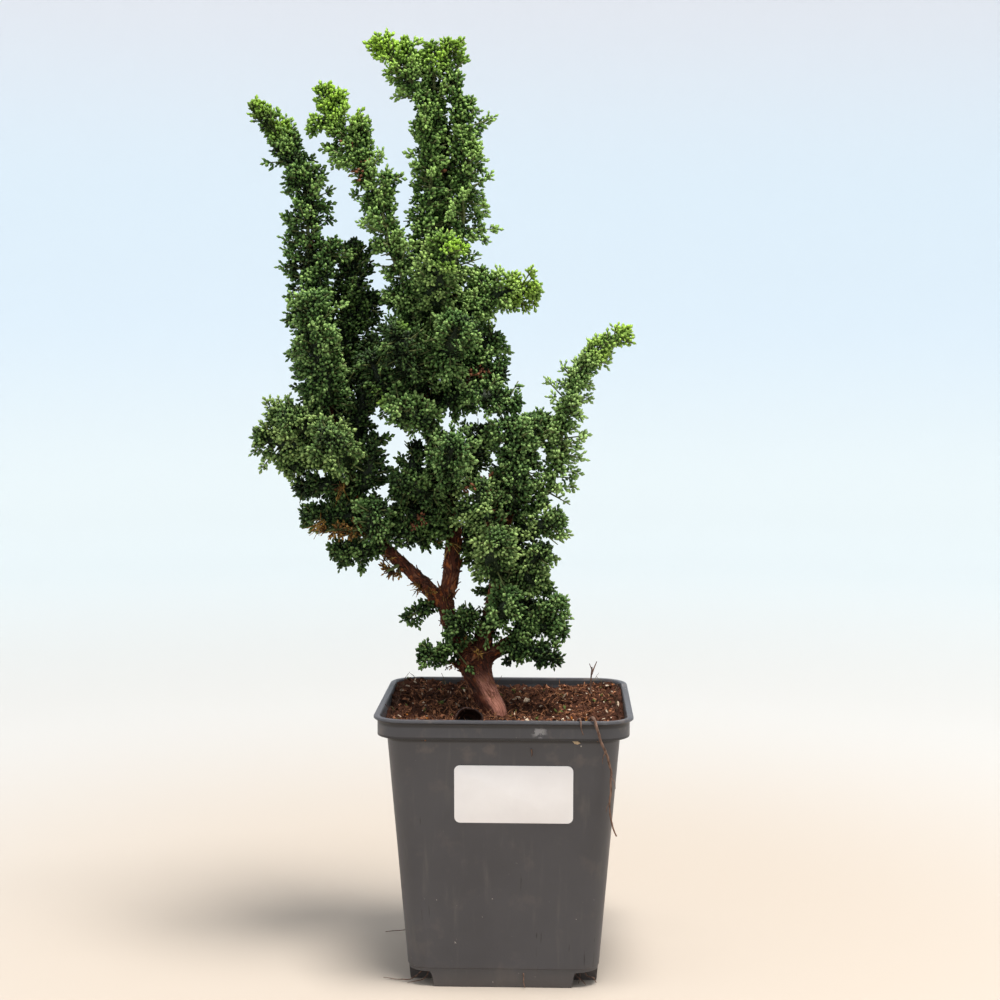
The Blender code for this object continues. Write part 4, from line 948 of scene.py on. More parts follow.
# %% Three fans of buds
FAN_ROWS = [[(0.36, 0, 0.10, 0.64), (0.10, 44, 0.0, 0.66), (0.16, -50, 0.20, 0.60)],
            [(0.32, 10, 0.30, 0.66), (0.14, 60, -0.1, 0.58), (0.10, -36, 0.0, 0.66)],
            [(0.36, -10, -0.1, 0.62), (0.10, 38, 0.35, 0.64), (0.18, -64, 0.1, 0.56)]]
# each bud's row is where it starts on the twig, its turn, its rise and its length


def fan_shape(rows):
    """Three buds that spread from one twig, as one shape of about unit length along X."""
    rows = np.array(rows, float)
    turn = np.radians(rows[:, 1])
    ahead = unit(np.stack([np.cos(turn), np.sin(turn), rows[:, 2]], 1)) * rows[:, 3:4]
    across = unit(np.cross((0.0, 0.0, 1.0), ahead)) * rows[:, 3:4]
    above = unit(np.cross(ahead, across)) * rows[:, 3:4]
    return placed_copies(BUD, rows[:, 0:1] * (1.0, 0.0, 0.0), ahead, across, above)


FAN_SHAPES = [fan_shape(rows) for rows in FAN_ROWS]
print("fans:", [len(shape[1]) for shape in FAN_SHAPES], "triangles")

# %% How fans sit on a spray, and sprays on a stem
FANS = [(4.1, 4, 4.9, 0), (4.9, 44, 4.8, 20), (5.4, 46, 4.8, 140), (5.9, 48, 4.8, 260),
        (8.9, 46, 4.8, 200)]
# each row is how far a fan starts behind the tuft's end, its turn outwards, its length, and its place
# around the twig
SPRAYS_PER_AREA = 0.262                   # for each millimetre of stem and of reach
FEWEST_SPRAYS = 6
SHORTEST, LONGEST = 3.8, 19.0             # of a spray, in millimetres
GOLDEN_ANGLE = math.radians(137.5)
WILD = {"long_waves": 0.85, "shorter": 0.34, "holes": -0.19}
CALM = {"long_waves": 0.45, "shorter": 0.24, "holes": -0.32}


def spray_frames(path, reaches, rng, offset, habit, tip):
    """Root, direction, face, length and share up the stem of every spray along one stem. With a wild
    habit the sprays differ more in length, so that the outline is ragged, and more of them are missing.
    The reach falls to the given share of itself at the tip."""
    length = np.linalg.norm(np.diff(path, axis=0), axis=1).sum()
    count = max(FEWEST_SPRAYS, round(SPRAYS_PER_AREA * length * (reaches[0] + reaches[1]) / 2))
    share = (np.arange(count) + rng.uniform(0.1, 0.9, count)) / count
    spot = np.clip(share ** 0.94, 0, 1) * (len(path) - 1)
    low = np.minimum(spot.astype(int), len(path) - 2)
    start = path[low] + (path[low + 1] - path[low]) * (spot - low)[:, None]
    ahead = unit(path[np.minimum(low + 3, len(path) - 1)] - path[np.maximum(low - 2, 0)])
    side = unit(np.cross(ahead, OFF_GRID))
    other = np.cross(ahead, side)
    angle = (np.arange(count) * GOLDEN_ANGLE + rng.uniform(0, 6.28) + rng.normal(0, 0.35, count))[:, None]
    out = side * np.cos(angle) + other * np.sin(angle)
    tilt = 90 - 24 * share - 34 * np.clip((share - 0.86) / 0.14, 0, 1) + rng.normal(0, 13, count)
    tilt = np.radians(np.clip(tilt, 14, 112))[:, None]
    along = unit(out * np.sin(tilt) + ahead * np.cos(tilt) + np.array((0, 0, 0.06)))
    reach = reaches[0] + (reaches[1] - reaches[0]) * share
    reach = reach * (1 - (1 - tip) * np.clip((share - 0.78) / 0.22, 0, 1))
    far = [Vector(p) + Vector((offset, 0, 0)) for p in start + out * reach[:, None]]
    tuft = np.array([habit["long_waves"] * noise.noise(p * 0.10) + 0.5 * noise.noise(p * 0.24)
                     for p in far])
    reach = reach * (0.955 + tuft + rng.uniform(-habit["shorter"], 0.13, count))
    ahead_room = ((1 - share) * length + 1.8) / np.maximum(np.cos(tilt[:, 0]), 0.05)
    long = np.minimum(reach / np.maximum(np.sin(tilt[:, 0]), 0.35), ahead_room)
    long = np.clip(long, SHORTEST, LONGEST)
    face = unit(out * np.cos(tilt) - ahead * np.sin(tilt))
    grown = np.array([noise.noise(p * 0.17 + Vector((0, 0, 50))) for p in far]) > habit["holes"]
    return [value[grown] for value in (start, along, face, long, share)]


def fans_of(frames, rng):
    """Start, direction, face, length, share up the stem and twig number of every fan: those of a tuft
    open like a rosette around the twig's end."""
    start, along, face, long, share = frames
    across = np.cross(face, along)
    rows, count = [], len(start)
    roll = rng.uniform(0, 6.28, count)
    for back, turn, size, around in FANS:
        place = (roll + math.radians(around) + rng.normal(0, 0.3, count))[:, None]
        side = face * np.cos(place) + across * np.sin(place)
        angle = np.radians(turn + rng.normal(0, 12, count))[:, None]
        way = unit(along * np.cos(angle) + side * np.sin(angle))
        out = unit(along - way * (along * way).sum(1)[:, None] + 0.15 * across)
        spin = rng.normal(0, 0.45, count)[:, None]
        out = unit(out * np.cos(spin) + np.cross(way, out) * np.sin(spin))
        begin = start + along * np.maximum(long * 0.12, long - back)[:, None]
        rows.append((begin, way, out, size * rng.uniform(0.8, 1.16, count), share, np.arange(count)))
    return [np.concatenate([row[i] for row in rows]) for i in range(6)]


print("fans on a spray:", len(FANS))

# %% The inner stems and the shaded heart of a shoot


def heart_of(shoot, path, reaches, share_of_reach, rng):
    """The dense shaded inside of a leafy stem: a knobbly closed tube with a pointed tip."""
    rough = smooth_path(path, 3.0)
    _, side, other = frame_along(rough)
    count, sides = len(rough), 9
    share = np.linspace(0, 1, count)
    reach = (reaches[0] + (reaches[1] - reaches[0]) * share) * share_of_reach
    reach = reach * np.minimum(1, 0.25 + 3 * share) * (1 - 0.75 * share ** 4)
    points = []
    for i in range(count):
        for k in range(sides):
            angle = 2 * math.pi * (k + 0.5 * (i % 2)) / sides
            out = side[i] * math.cos(angle) + other[i] * math.sin(angle)
            far = reach[i] * rng.uniform(0.72, 1.15)
            points.append(rough[i] + out * far)
    points = np.array(points)
    centres = np.repeat(rough, sides, axis=0)
    for draw in (0.7, 0.5, 0.35, 0.2):
        bad = (own_room(shoot, points) < 0.2) | (wood_room(points) < 0.2) | in_sky_gap(points)
        bad |= points[:, 2] < LOWEST_LEAF
        points[bad] = centres[bad] + (points[bad] - centres[bad]) * draw
    faces = []
    for i in range(count - 1):
        for k in range(sides):
            a, b = i * sides + k, i * sides + (k + 1) % sides
            c, d = a + sides, b + sides
            faces += [(a, b, d), (a, d, c)] if i % 2 else [(a, b, c), (b, d, c)]
    first, last = len(points), len(points) + 1
    points = np.vstack([points, path[0], path[-1]])
    for k in range(sides):
        faces.append((first, (k + 1) % sides, k))
        faces.append((last, (count - 1) * sides + k, (count - 1) * sides + (k + 1) % sides))
    return points, np.array(faces)


def stem_tube(path, thick, thin, sides=5):
    """The green-brown stem inside a shoot, as a closed tube."""
    rough = smooth_path(path, 4.0)
    _, side, other = frame_along(rough)
    radius = np.linspace(thick, thin, len(rough))
    points = [rough[i] + (side[i] * math.cos(a) + other[i] * math.sin(a)) * radius[i]
              for i in range(len(rough)) for a in np.arange(sides) * 2 * math.pi / sides]
    faces = []
    for i in range(len(rough) - 1):
        for k in range(sides):
            a, b = i * sides + k, i * sides + (k + 1) % sides
            faces += [(a, b, b + sides), (a, b + sides, a + sides)]
    last = (len(rough) - 1) * sides
    for k in range(1, sides - 1):
        faces += [(0, k + 1, k), (last, last + k, last + k + 1)]
    return np.array(points), np.array(faces)


def twigs_of(frames, thick):
    """A thin three-sided twig from the stem to each tuft."""
    start, along, face, long, _ = frames
    across = np.cross(face, along)
    points = []
    for share, radius in ((-0.03, thick), (0.85, thick * 0.55)):
        for angle in (0, 2 * math.pi / 3, 4 * math.pi / 3):
            points.append(start + along * (long * share)[:, None]
                          + (face * math.cos(angle) + across * math.sin(angle)) * radius)
    points = np.stack(points, 1).reshape(-1, 3)
    prism = np.array([(0, 2, 1), (3, 4, 5), (0, 1, 4), (0, 4, 3), (1, 2, 5), (1, 5, 4), (2, 0, 3),
                      (2, 3, 5)])
    return points, (prism[None] + 6 * np.arange(len(start))[:, None, None]).reshape(-1, 3)


print("a stem 10 mm long:", len(stem_tube([(0, 0, 0), (0, 0, 10)], 1, 1)[1]), "triangles")

# %% Young and dry leaves
DRY_PLACES = [(-12, -14, 212, 9), (-8, -8, 200, 8), (-16, -20, 222, 8), (-26, 2, 364, 9),
              (-28, 2, 346, 7), (-62, -3, 348, 7), (-70, -3, 362, 6), (-22, 2, 330, 7),
              (-12, -4, 262, 8), (-40, -8, 197, 7), (-70, -12, 205, 9), (-24, 4, 300, 6),
              (-88, 0, 318, 5)]           # x, y, z and reach


def fresh_share(points):
    """How young the leaf is at each point: 1 in the middle of a spot of fresh growth, 0 outside."""
    fresh = np.zeros(len(points))
    for x, y, z, reach in FRESH_GROWTH:
        fresh = np.maximum(fresh, 1.15 - np.linalg.norm(points - (x, y, z), axis=1) / reach)
    return np.clip(fresh, 0, 1)


def dry_share(points):
    """How close each point is to a place where small inner leaves have dried."""
    dry = np.zeros(len(points))
    for x, y, z, reach in DRY_PLACES:
        dry = np.maximum(dry, 1.0 - np.linalg.norm(points - (x, y, z), axis=1) / reach)
    return dry


print("places:", len(FRESH_GROWTH), "of fresh growth,", len(DRY_PLACES), "of dried leaves")

# %% Build one shoot
LIVE_FAN, DEAD_FAN = (0.84, 0.74), (0.5, 0.45)     # width and thickness, in lengths of the fan
TIP_ROOM, HALF_ROOM, TO_WOOD = -2.2, -1.6, 0.4     # how near to other shoots and wood a fan may come
HEART_SHARE = 0.38                        # of the reach, for the shaded inside of a stem
# The heart's tone gives it the deep colour of the crown's inside: painted shade.
TWIG_TONE, HEART_TONE = (0.5, 0.0, 0.5, 0.5), (0.0, 0.0, 0.3, 1.0)
TIP_SHARE = {"left_plume": 0.35, "second_plume": 0.55, "right_plume": 0.62, "column_left": 0.70,
             "column_right": 0.85, "right_knob": 0.9}
OPEN_SHOOTS = ("left_plume", "second_plume", "column_left", "column_right", "right_plume",
               "twig_sprig", "low_sprig", "bright_sprig")      # thin, with the stem to be seen
FANS_MADE = {"kept": 0, "dropped": 0}


def one_tone(points, faces, tone):
    """Points in metres with the same tone at every point."""
    return points * MM, faces, np.tile(tone, (len(points), 1))


def fan_parts(fans, path, reach, chance, leaf, sizes, brighter):
    """All fans of a stem as meshes with their tones, one part for each kind of fan."""
    begin, ahead, face, long, spray, kind = fans
    wide, thick = sizes
    for k, (shape_points, shape_faces) in enumerate(FAN_SHAPES):
        these = kind == k
        if not these.any():
            continue
        across = np.cross(face[these], ahead[these])
        points, faces = placed_copies((shape_points, shape_faces), begin[these],
                                      ahead[these] * long[these][:, None], across * wide[these][:, None],
                                      face[these] * thick[these][:, None])
        size = len(shape_points)
        # Points far from the middle of a fan count as further out, so the ends of the buds get the paler
        # tip colour, partly painted light.
        edge = np.clip((np.hypot(shape_points[:, 0] - 0.25, shape_points[:, 1]) - 0.12) / 0.55, 0, 1)
        # Points near the stem count as deep inside and take the painted shade of the crown.
        deep = np.clip(nearest(points, path)[0] / np.repeat(reach[these], size), 0, 1.2)
        out = 0.62 * deep + 0.42 * np.tile(edge, these.sum()) + brighter
        tones = [out, fresh_share(points) * np.clip(deep * 1.5, 0, 1),
                 np.repeat(chance[spray[these]], size), np.repeat(leaf[these], size)]
        yield points * MM, faces, np.stack(tones, 1)


def shoot_parts(index, row):
    """Points, triangles and tones of a leafy shoot. The tones are: how far out a point is, how fresh it
    is, a number by chance for each spray, and whether it is leaf."""
    shoot, tone, first_reach, last_reach, way = row
    rng = np.random.default_rng(100 + index)
    dead, open_inside = tone == "dead", shoot in OPEN_SHOOTS
    stems = [(first_reach, last_reach, way)]
    stems += [(first, last, fork) for owner, first, last, fork in FORKS if owner == shoot]
    parts = []
    for first, last, stem in stems:
        path = smooth_path(stem)
        frames = spray_frames(path, (first, last), rng, index * 3.1, WILD if open_inside else CALM,
                              TIP_SHARE.get(shoot, 1.0))
        if dead:
            frames = [value[::2] for value in frames]
        fans = fans_of(frames, rng)
        begin, ahead, _, long, _, _ = fans
        fits = np.ones(len(begin), bool)
        for share_out, margin in ((1.0, TIP_ROOM), (0.5, HALF_ROOM)):
            points = begin + ahead * (long * share_out)[:, None]
            fits &= (own_room(shoot, points) > margin) & (wood_room(points) > TO_WOOD)
            fits &= ~in_sky_gap(points) & (points[:, 2] > LOWEST_LEAF)
        FANS_MADE["kept"] += int(fits.sum())
        FANS_MADE["dropped"] += int((~fits).sum())
        begin, ahead, face, long, share, spray = (value[fits] for value in fans)
        chance = rng.uniform(0, 1, len(frames[0]))
        reach = first + (last - first) * share
        kind = rng.integers(0, len(FAN_SHAPES), len(begin))
        fan_wide, fan_thick = DEAD_FAN if dead else LIVE_FAN
        wide = fan_wide * rng.uniform(0.82, 1.15, len(begin)) * long
        leaf = np.where(rng.uniform(0.25, 1.6, len(begin)) < dry_share(begin), 0.0, 1.0)
        parts += fan_parts((begin, ahead, face, long, spray, kind), path, reach, chance, leaf,
                           (wide, fan_thick * long), LIGHTER.get(shoot, 0.0))
        used = np.unique(spray)
        parts.append(one_tone(*twigs_of([value[used] for value in frames], 0.5), TWIG_TONE))
        if not open_inside and not dead:
            heart = heart_of(shoot, path, (first, last), HEART_SHARE, rng)
            parts.append(one_tone(*heart, HEART_TONE))
        parts.append(one_tone(*stem_tube(stem, 1.1, 0.55), TWIG_TONE))
    return stacked(parts)


# %% [markdown]
# ## Colours of the leaves
#
# The inside of the crown gets little light, and that shade is painted in: deep inside the leaves are an
# almost black green. The buds are a middle green, their tips are paler and a little grey, partly their own
# colour and partly painted light, and this year's growth at the ends of the plumes is yellow-green. The
# colour attribute of each point says how far out it lies, how fresh it is, and a number by chance, and one
# node group turns those three into a colour. Each kind of foliage gives the group its own greens.

# %% Leaf finish


def make_leaf_colour():
    """Four colours mixed by how far out a point is, how fresh it is, chance and mottling; the inside is
    painted shade.
    """
    group, enter, leave = new_group(
        "leaf_colour",
        [("Out", "NodeSocketFloat", 0.5), ("Fresh", "NodeSocketFloat", 0.0),
         ("Chance", "NodeSocketFloat", 0.5), ("Mottle", "NodeSocketFloat", 0.5),
         ("Deep", "NodeSocketColor", (0.005, 0.012, 0.004, 1)),
         ("Middle", "NodeSocketColor", (0.03, 0.07, 0.02, 1)),
         ("Tip", "NodeSocketColor", (0.1, 0.16, 0.06, 1)),
         ("Young", "NodeSocketColor", (0.28, 0.4, 0.06, 1))],
        [("Colour", "NodeSocketColor")])
    given = enter.outputs
    mottled = calc(group, "MULTIPLY_ADD", given["Mottle"], 0.30, -0.15)
    by_chance = calc(group, "MULTIPLY_ADD", given["Chance"], 0.40, -0.20)
    far_out = calc(group, "ADD", calc(group, "ADD", given["Out"], mottled), by_chance)
    inner = mixed_colour(group, soft_step(group, far_out, 0.22, 0.62), given["Deep"], given["Middle"])
    outer = mixed_colour(group, soft_step(group, far_out, 0.58, 1.06), inner, given["Tip"])
    fresh = soft_step(group, given["Fresh"], 0.05, 0.95)
    feed(group, mixed_colour(group, fresh, outer, given["Young"]), leave.inputs["Colour"])
    return group


LEAF_COLOUR = make_leaf_colour()
LEAF_TONES = {                            # deep inside in painted shade, middle, tip partly in painted light, and young, for each kind of foliage
    # The dark greens are a darker copy of the middle ones: painted shade for shoots at the back and inside.
    # The light greens are paler and partly painted light, for shoots at the front and outside.
    "dark": ((0.005, 0.011, 0.003), (0.036, 0.080, 0.016), (0.145, 0.240, 0.060), (0.20, 0.35, 0.040)),
    "mid": ((0.006, 0.013, 0.003), (0.070, 0.149, 0.033), (0.260, 0.400, 0.120), (0.29, 0.47, 0.045)),
    "light": ((0.007, 0.016, 0.004), (0.098, 0.180, 0.042), (0.330, 0.460, 0.140), (0.30, 0.52, 0.04)),
    "fresh": ((0.007, 0.017, 0.004), (0.125, 0.235, 0.055), (0.330, 0.480, 0.150), (0.36, 0.54, 0.06)),
    "dead": ((0.035, 0.014, 0.004), (0.18, 0.085, 0.018), (0.44, 0.25, 0.055), (0.4, 0.25, 0.05)),
}
SUNNY_TINT, TWIG_GREEN, DRIED_BROWN = (1.05, 1.08, 0.80), (0.115, 0.135, 0.045), (0.19, 0.075, 0.035)
LEAF_SLOTS = {"dark": "shaded_leaves", "mid": "leaves", "light": "pale_leaves", "fresh": "fresh_leaves",
              "dead": "dead_leaves"}


def leaf_finish(tone):
    made = Finish("leaves_" + tone, 0.6, specular=0.22)
    out, fresh, chance, leaf = made.attribute("tones")
    painted = add_node(made.tree, "ShaderNodeGroup", node_tree=LEAF_COLOUR)
    for label, socket in (("Out", out), ("Fresh", fresh), ("Chance", chance),
                          ("Mottle", made.group(MOTTLE, Size=0.007, Softness=0.25))):
        made.link(socket, painted.inputs[label])
    deep, _, tip, _ = LEAF_TONES[tone]
    for label, colour in zip(("Deep", "Middle", "Tip", "Young"), LEAF_TONES[tone]):
        painted.inputs[label].default_value = (*colour, 1)
    flecks = made.group(MOTTLE, Size=0.0011, Level=0.62, Softness=0.06)
    green = made.mix(made.math("MULTIPLY", flecks, 0.28), painted.outputs[0], tip)
    # The joins between the scale leaves take some of the deep colour: painted shade in the creases.
    painted_crease_shade = made.span(made.group(SCALES, Size=0.0013), 0.66, 0.44)
    green = made.mix(made.math("MULTIPLY", painted_crease_shade, 0.40), green, deep)
    high_up = made.span(made.axes()["Z"], 0.22, 0.40)
    green = made.mix(high_up, green, made.mix(1.0, green, SUNNY_TINT, "MULTIPLY"))
    made.bump(made.group(SCALES, Size=0.0010), 0.0004, 0.7)
    leafy = made.mix(made.span(leaf, 0.5, 1.0), TWIG_GREEN, green)
    return made.colour(made.mix(made.span(leaf, 0.0, 0.5), DRIED_BROWN, leafy))


LEAF_FINISHES = {tone: leaf_finish(tone) for tone in LEAF_TONES}
print("leaf finishes:", sorted(LEAF_FINISHES))

# %% Build every shoot
for index, row in enumerate(SHOOTS + DEAD_SPRIGS):
    shoot, tone = row[0], row[1]
    node = shoot if tone == "dead" else "shoot_" + shoot
    leafy = new_mesh("leaves_" + shoot, *shoot_parts(index, row))
    leafy.data.materials.append(LEAF_FINISHES[tone])
    keep(leafy, LEAF_SLOTS[tone], node)

# %% [markdown]
# ## Dried tufts
#
# Where sprays have died, thin orange-brown strands stay on the wood: on the stub, around the upright limb
# just under the leaves, at the rough fork and inside the lower leaves. Each tuft is a handful of bent
# strands that spread from one place, with a few narrow dead fans among them.

# %% Build the dried tufts
DRY_TUFTS = [((-37, -4, 168), (-0.8, -0.5, -0.2), 16, 7.0), ((-24, -3.4, 187), (0.7, -0.6, -0.4), 10, 5.5),
             ((-27, -3, 189), (-0.7, -0.6, -0.3), 10, 5.5), ((-12, -12.5, 140), (-0.2, -0.8, 0.4), 12, 4.0),
             ((-23, -5, 134), (-0.9, -0.3, 0.2), 8, 4.0), ((-71, -15, 213), (-0.3, -0.4, -0.9), 12, 7.5),
             ((-80, -17, 197), (-0.6, -0.3, -0.7), 14, 8.0), ((-53, -7, 181), (0.5, -0.6, -0.5), 9, 6.0),
             ((-19, -4, 143), (0.1, -0.9, 0.3), 8, 3.5), ((-33, -4, 165), (0.3, -0.8, 0.5), 8, 4.0),
             ((-26, -3.5, 163), (0.0, -0.9, 0.4), 8, 3.5)]      # place, way, strands and length
FAN_CHANCE = 0.4
tuft_rng = np.random.default_rng(41)
dry_parts = []
for place, way, strands, long in DRY_TUFTS:
    for _ in range(strands):
        start = np.array(place) + tuft_rng.normal(0, 0.8, 3)
        first = unit(np.array(way) + tuft_rng.normal(0, 0.55, 3))
        bent = unit(first + tuft_rng.normal(0, 0.5, 3) + (0, 0, -0.25))
        reach = long * tuft_rng.uniform(0.5, 1.1)
        middle = start + first * reach * 0.4
        bend = [start - first * 1.5, middle, start + first * reach * 0.5 + bent * reach * 0.5]
        stalk = stem_tube([tuple(p) for p in bend], 0.30, 0.12, 3)
        tone = (tuft_rng.uniform(0.2, 1.1), 0.0, 0.5, 1.0)
        dry_parts.append(one_tone(*stalk, tone))
        if tuft_rng.uniform() < FAN_CHANCE:
            side = unit(np.cross(first, tuft_rng.normal(0, 1, 3)))
            fan = placed_copies(FAN_SHAPES[1], middle[None], (bent * 3.0)[None], (side * 1.5)[None],
                                (np.cross(bent, side) * 1.2)[None])
            dry_parts.append(one_tone(*fan, tone))
dry_tufts = new_mesh("dried_tufts", *stacked(dry_parts))
dry_tufts.data.materials.append(LEAF_FINISHES["dead"])
keep(dry_tufts, "dead_leaves")
print("dried tufts:", pieces_made["dried_tufts"], "triangles")
leafy_sizes = [size for name, size in pieces_made.items() if name.startswith("leaves_")]
print("leafy pieces:", len(leafy_sizes), "triangles:", sum(leafy_sizes), "largest:", max(leafy_sizes))
print("fans kept and dropped:", FANS_MADE)

# %% [markdown]
# ## The nursery pot
#
# The pot is an injection-moulded box of thin dark plastic: walls that spread upwards, a flange, an upright
# band and a thin lip, and open corners at the foot. One could sculpt it from a cube with loop cuts. Here a
# plane with rounded corners is extruded again and again, each time to the next half width, corner radius
# and height, up the outside, over the lip and down the inside. The corners are cut out with simple boxes.

# %% Extrude the pot from one rounded square
POT_RINGS = [(40.0, 9.9, 0.0), (40.25, 10, 0.3), (40.9, 10, 8.1), (41.25, 10, 8.5), (49.35, 10, 108.7),
             (49.6, 10.1, 109.2), (50.2, 10.6, 109.4), (53.0, 12.6, 109.4), (53.3, 12.9, 109.55),
             (53.4, 13.0, 110.0), (53.4, 13.0, 115.4), (53.6, 13.2, 116.0), (54.1, 13.7, 116.4),
             (54.7, 14.3, 116.5), (55.0, 14.6, 116.8), (55.0, 14.6, 117.3), (54.8, 14.4, 117.7),
             (54.4, 14.0, 117.9), (53.0, 12.6, 117.9), (52.5, 12.1, 117.7), (52.2, 11.8, 117.2),
             (52.2, 11.8, 110.9), (51.9, 11.5, 110.6), (48.9, 8.8, 110.6), (48.4, 8.8, 110.2),
             (39.9, 8.8, 8.5)]


def rounded_plane(name, half, radius, z, steps=8):
    """A flat square whose corners are rounded by a vertex bevel."""
    deselect_everything()
    bpy.ops.mesh.primitive_plane_add(size=2 * half * MM, location=(0, 0, z * MM))
    obj = active_object(name)
    start_edit(obj)
    bpy.ops.mesh.select_all(action="SELECT")
    bpy.ops.mesh.bevel(offset=radius * MM, offset_type="OFFSET", segments=steps, affect="VERTICES")
    bpy.ops.mesh.select_all(action="SELECT")
    return obj


def extrude_rings(obj, rings):
    """In edit mode with the face selected, extrude it to each further ring in turn."""
    for (half, radius, _), (next_half, next_radius, z) in zip(rings, rings[1:]):
        bpy.ops.mesh.extrude_region_move()
        bm = bmesh.from_edit_mesh(obj.data)
        for vert in bm.verts:
            if vert.select:
                corner = Vector([math.copysign(half - radius, v) * MM for v in vert.co.xy])
                way = (vert.co.xy - corner).normalized()
                corner = Vector([math.copysign(next_half - next_radius, v) * MM for v in vert.co.xy])
                spot = corner + way * next_radius * MM
                vert.co = (spot.x, spot.y, z * MM)
        bmesh.update_edit_mesh(obj.data)
    end_edit()
    outward(obj)
    return obj


pot = extrude_rings(rounded_plane("pot_wall", *POT_RINGS[0]), POT_RINGS)
print("pot shell:", len(pot.data.polygons), "faces")

# %% Open the corners and drill the drain holes
NOTCH_LEAN = 2.0 * MM                     # how far the sides of a notch lean from its foot to its top
DRAIN_PLACE, DRAIN_RADIUS = 33, 3.5
notches, drills = [], []
for sx, sy in ((-1, -1), (-1, 1), (1, -1), (1, 1)):
    deselect_everything()
    bpy.ops.mesh.primitive_cube_add(size=1, location=(sx * 39 * MM, sy * 39 * MM, 2.4 * MM),
                                    scale=(20.5 * MM, 20.5 * MM, 8.8 * MM))
    notch = active_object("notch")
    start_edit(notch)
    for axis, sign in ((0, sx), (1, sy)):
        choose(notch, "VERT", lambda co: co.z > 0.004 and abs(co[axis]) < 0.030)
        bpy.ops.transform.translate(value=[sign * NOTCH_LEAN if i == axis else 0 for i in range(3)])
    choose(notch, "EDGE", lambda co: co.z > 0.006)
    bpy.ops.mesh.bevel(offset=0.0008, segments=3)
    end_edit()
    notches.append(notch)
    deselect_everything()
    bpy.ops.mesh.primitive_cylinder_add(
        vertices=24, radius=DRAIN_RADIUS * MM, depth=6 * MM,
        location=(sx * DRAIN_PLACE * MM, sy * DRAIN_PLACE * MM, 8 * MM))
    drills.append(active_object("drain_drill"))
for tool in (joined("pot_cutters", notches), joined("pot_drills", drills)):
    apply_modifier(pot, "BOOLEAN", operation="DIFFERENCE", object=tool, solver="EXACT")
    bpy.data.objects.remove(tool)
print("pot with open corners:", len(pot.data.polygons), "faces")

# %% Pot finish
SMUDGE = (0.0153, -0.0534, 0.1133)        # the middle of a smear of grit on the upright band
RIM_SHADOWS = ((0.1141, 0.1168), (0.1072, 0.1105))      # lowest and highest, where the rim steps in
pot_finish = Finish("grey_moulded_plastic", 0.45)
cloudy = pot_finish.group(MOTTLE, Size=0.045, Softness=0.28)
pot_grey = pot_finish.mix(cloudy, (0.0425, 0.0408, 0.0455), (0.0590, 0.0560, 0.0605))
streak = pot_finish.span(pot_finish.grain((0.0035, 0.0035, 0.035), 3.0), 0.55, 0.85)
pot_grey = pot_finish.mix(streak, pot_grey, (0.075, 0.070, 0.068))
scrape = pot_finish.span(pot_finish.grain((0.0016, 0.0016, 0.030), 2.0), 0.66, 0.70)
where = pot_finish.group(MOTTLE, Size=0.030, Level=0.60, Softness=0.04)
scraped = pot_finish.math("MULTIPLY", scrape, where)
pot_grey = pot_finish.mix(scraped, pot_grey, (0.020, 0.018, 0.018))
up = pot_finish.axes()["Z"]
soiled = pot_finish.math("MULTIPLY", pot_finish.group(MOTTLE, Size=0.012, Level=0.63, Softness=0.08),
                         pot_finish.span(up, 0.085, 0.118, 0.3, 1.0))
pot_grey = pot_finish.mix(pot_finish.math("MULTIPLY", soiled, 0.30), pot_grey, (0.20, 0.155, 0.12))
specks = pot_finish.group(MOTTLE, Size=0.0016, Level=0.735, Softness=0.012)
pot_grey = pot_finish.mix(specks, pot_grey, (0.42, 0.37, 0.32))
near_smudge = pot_finish.span(pot_finish.distance_from(SMUDGE), 0.0042, 0.0012)
grainy = pot_finish.group(MOTTLE, Size=0.0016, Level=0.50, Softness=0.06)
pot_grey = pot_finish.mix(pot_finish.math("MULTIPLY", near_smudge, grainy), pot_grey, (0.22, 0.21, 0.21))
for low, high in RIM_SHADOWS:
    line = pot_finish.math("MULTIPLY", pot_finish.span(up, low, low + 0.0010),
                           pot_finish.math("LESS_THAN", up, high))
    pot_grey = pot_finish.mix(pot_finish.math("MULTIPLY", line, 0.9), pot_grey, (0.012, 0.010, 0.010))
# The lowest 12 millimetres of the pot get paler and warmer towards the bottom.
paler_foot = pot_finish.math("MULTIPLY", pot_finish.span(up, 0.012, 0.0), 0.35)
pot_grey = pot_finish.mix(paler_foot, pot_grey, (0.11, 0.09, 0.075))
rough = add_node(pot_finish.tree, "ShaderNodeMapRange")
pot_finish.link(cloudy, rough.inputs["Value"])
rough.inputs["To Min"].default_value, rough.inputs["To Max"].default_value = 0.36, 0.52
pot_finish.link(rough.outputs["Result"], pot_finish.shader.inputs["Roughness"])
moulded = add_node(pot_finish.tree, "ShaderNodeTexNoise")
moulded.inputs["Scale"].default_value = 2200.0
pot_finish.link(pot_finish.place, moulded.inputs["Vector"])
pot_finish.bump(moulded.outputs["Fac"], 0.00006, 0.5)
pot_finish.bump(scraped, 0.0001, -0.5)
pot.data.materials.append(pot_finish.colour(pot_grey))
keep(pot, "pot", "pot", smooth=35)
print("pot finish:", pot.data.materials[0].name)

# %% [markdown]
# ## The paper label
#
# A plain white sticker of a stock size, 50 by 25 millimetres with round corners, is stuck on the front
# wall and leans with it. It is one plane with bevelled corners and a real paper thickness. It stays blank,
# with the slight warmth, fibre and small brown spots that such paper gets.

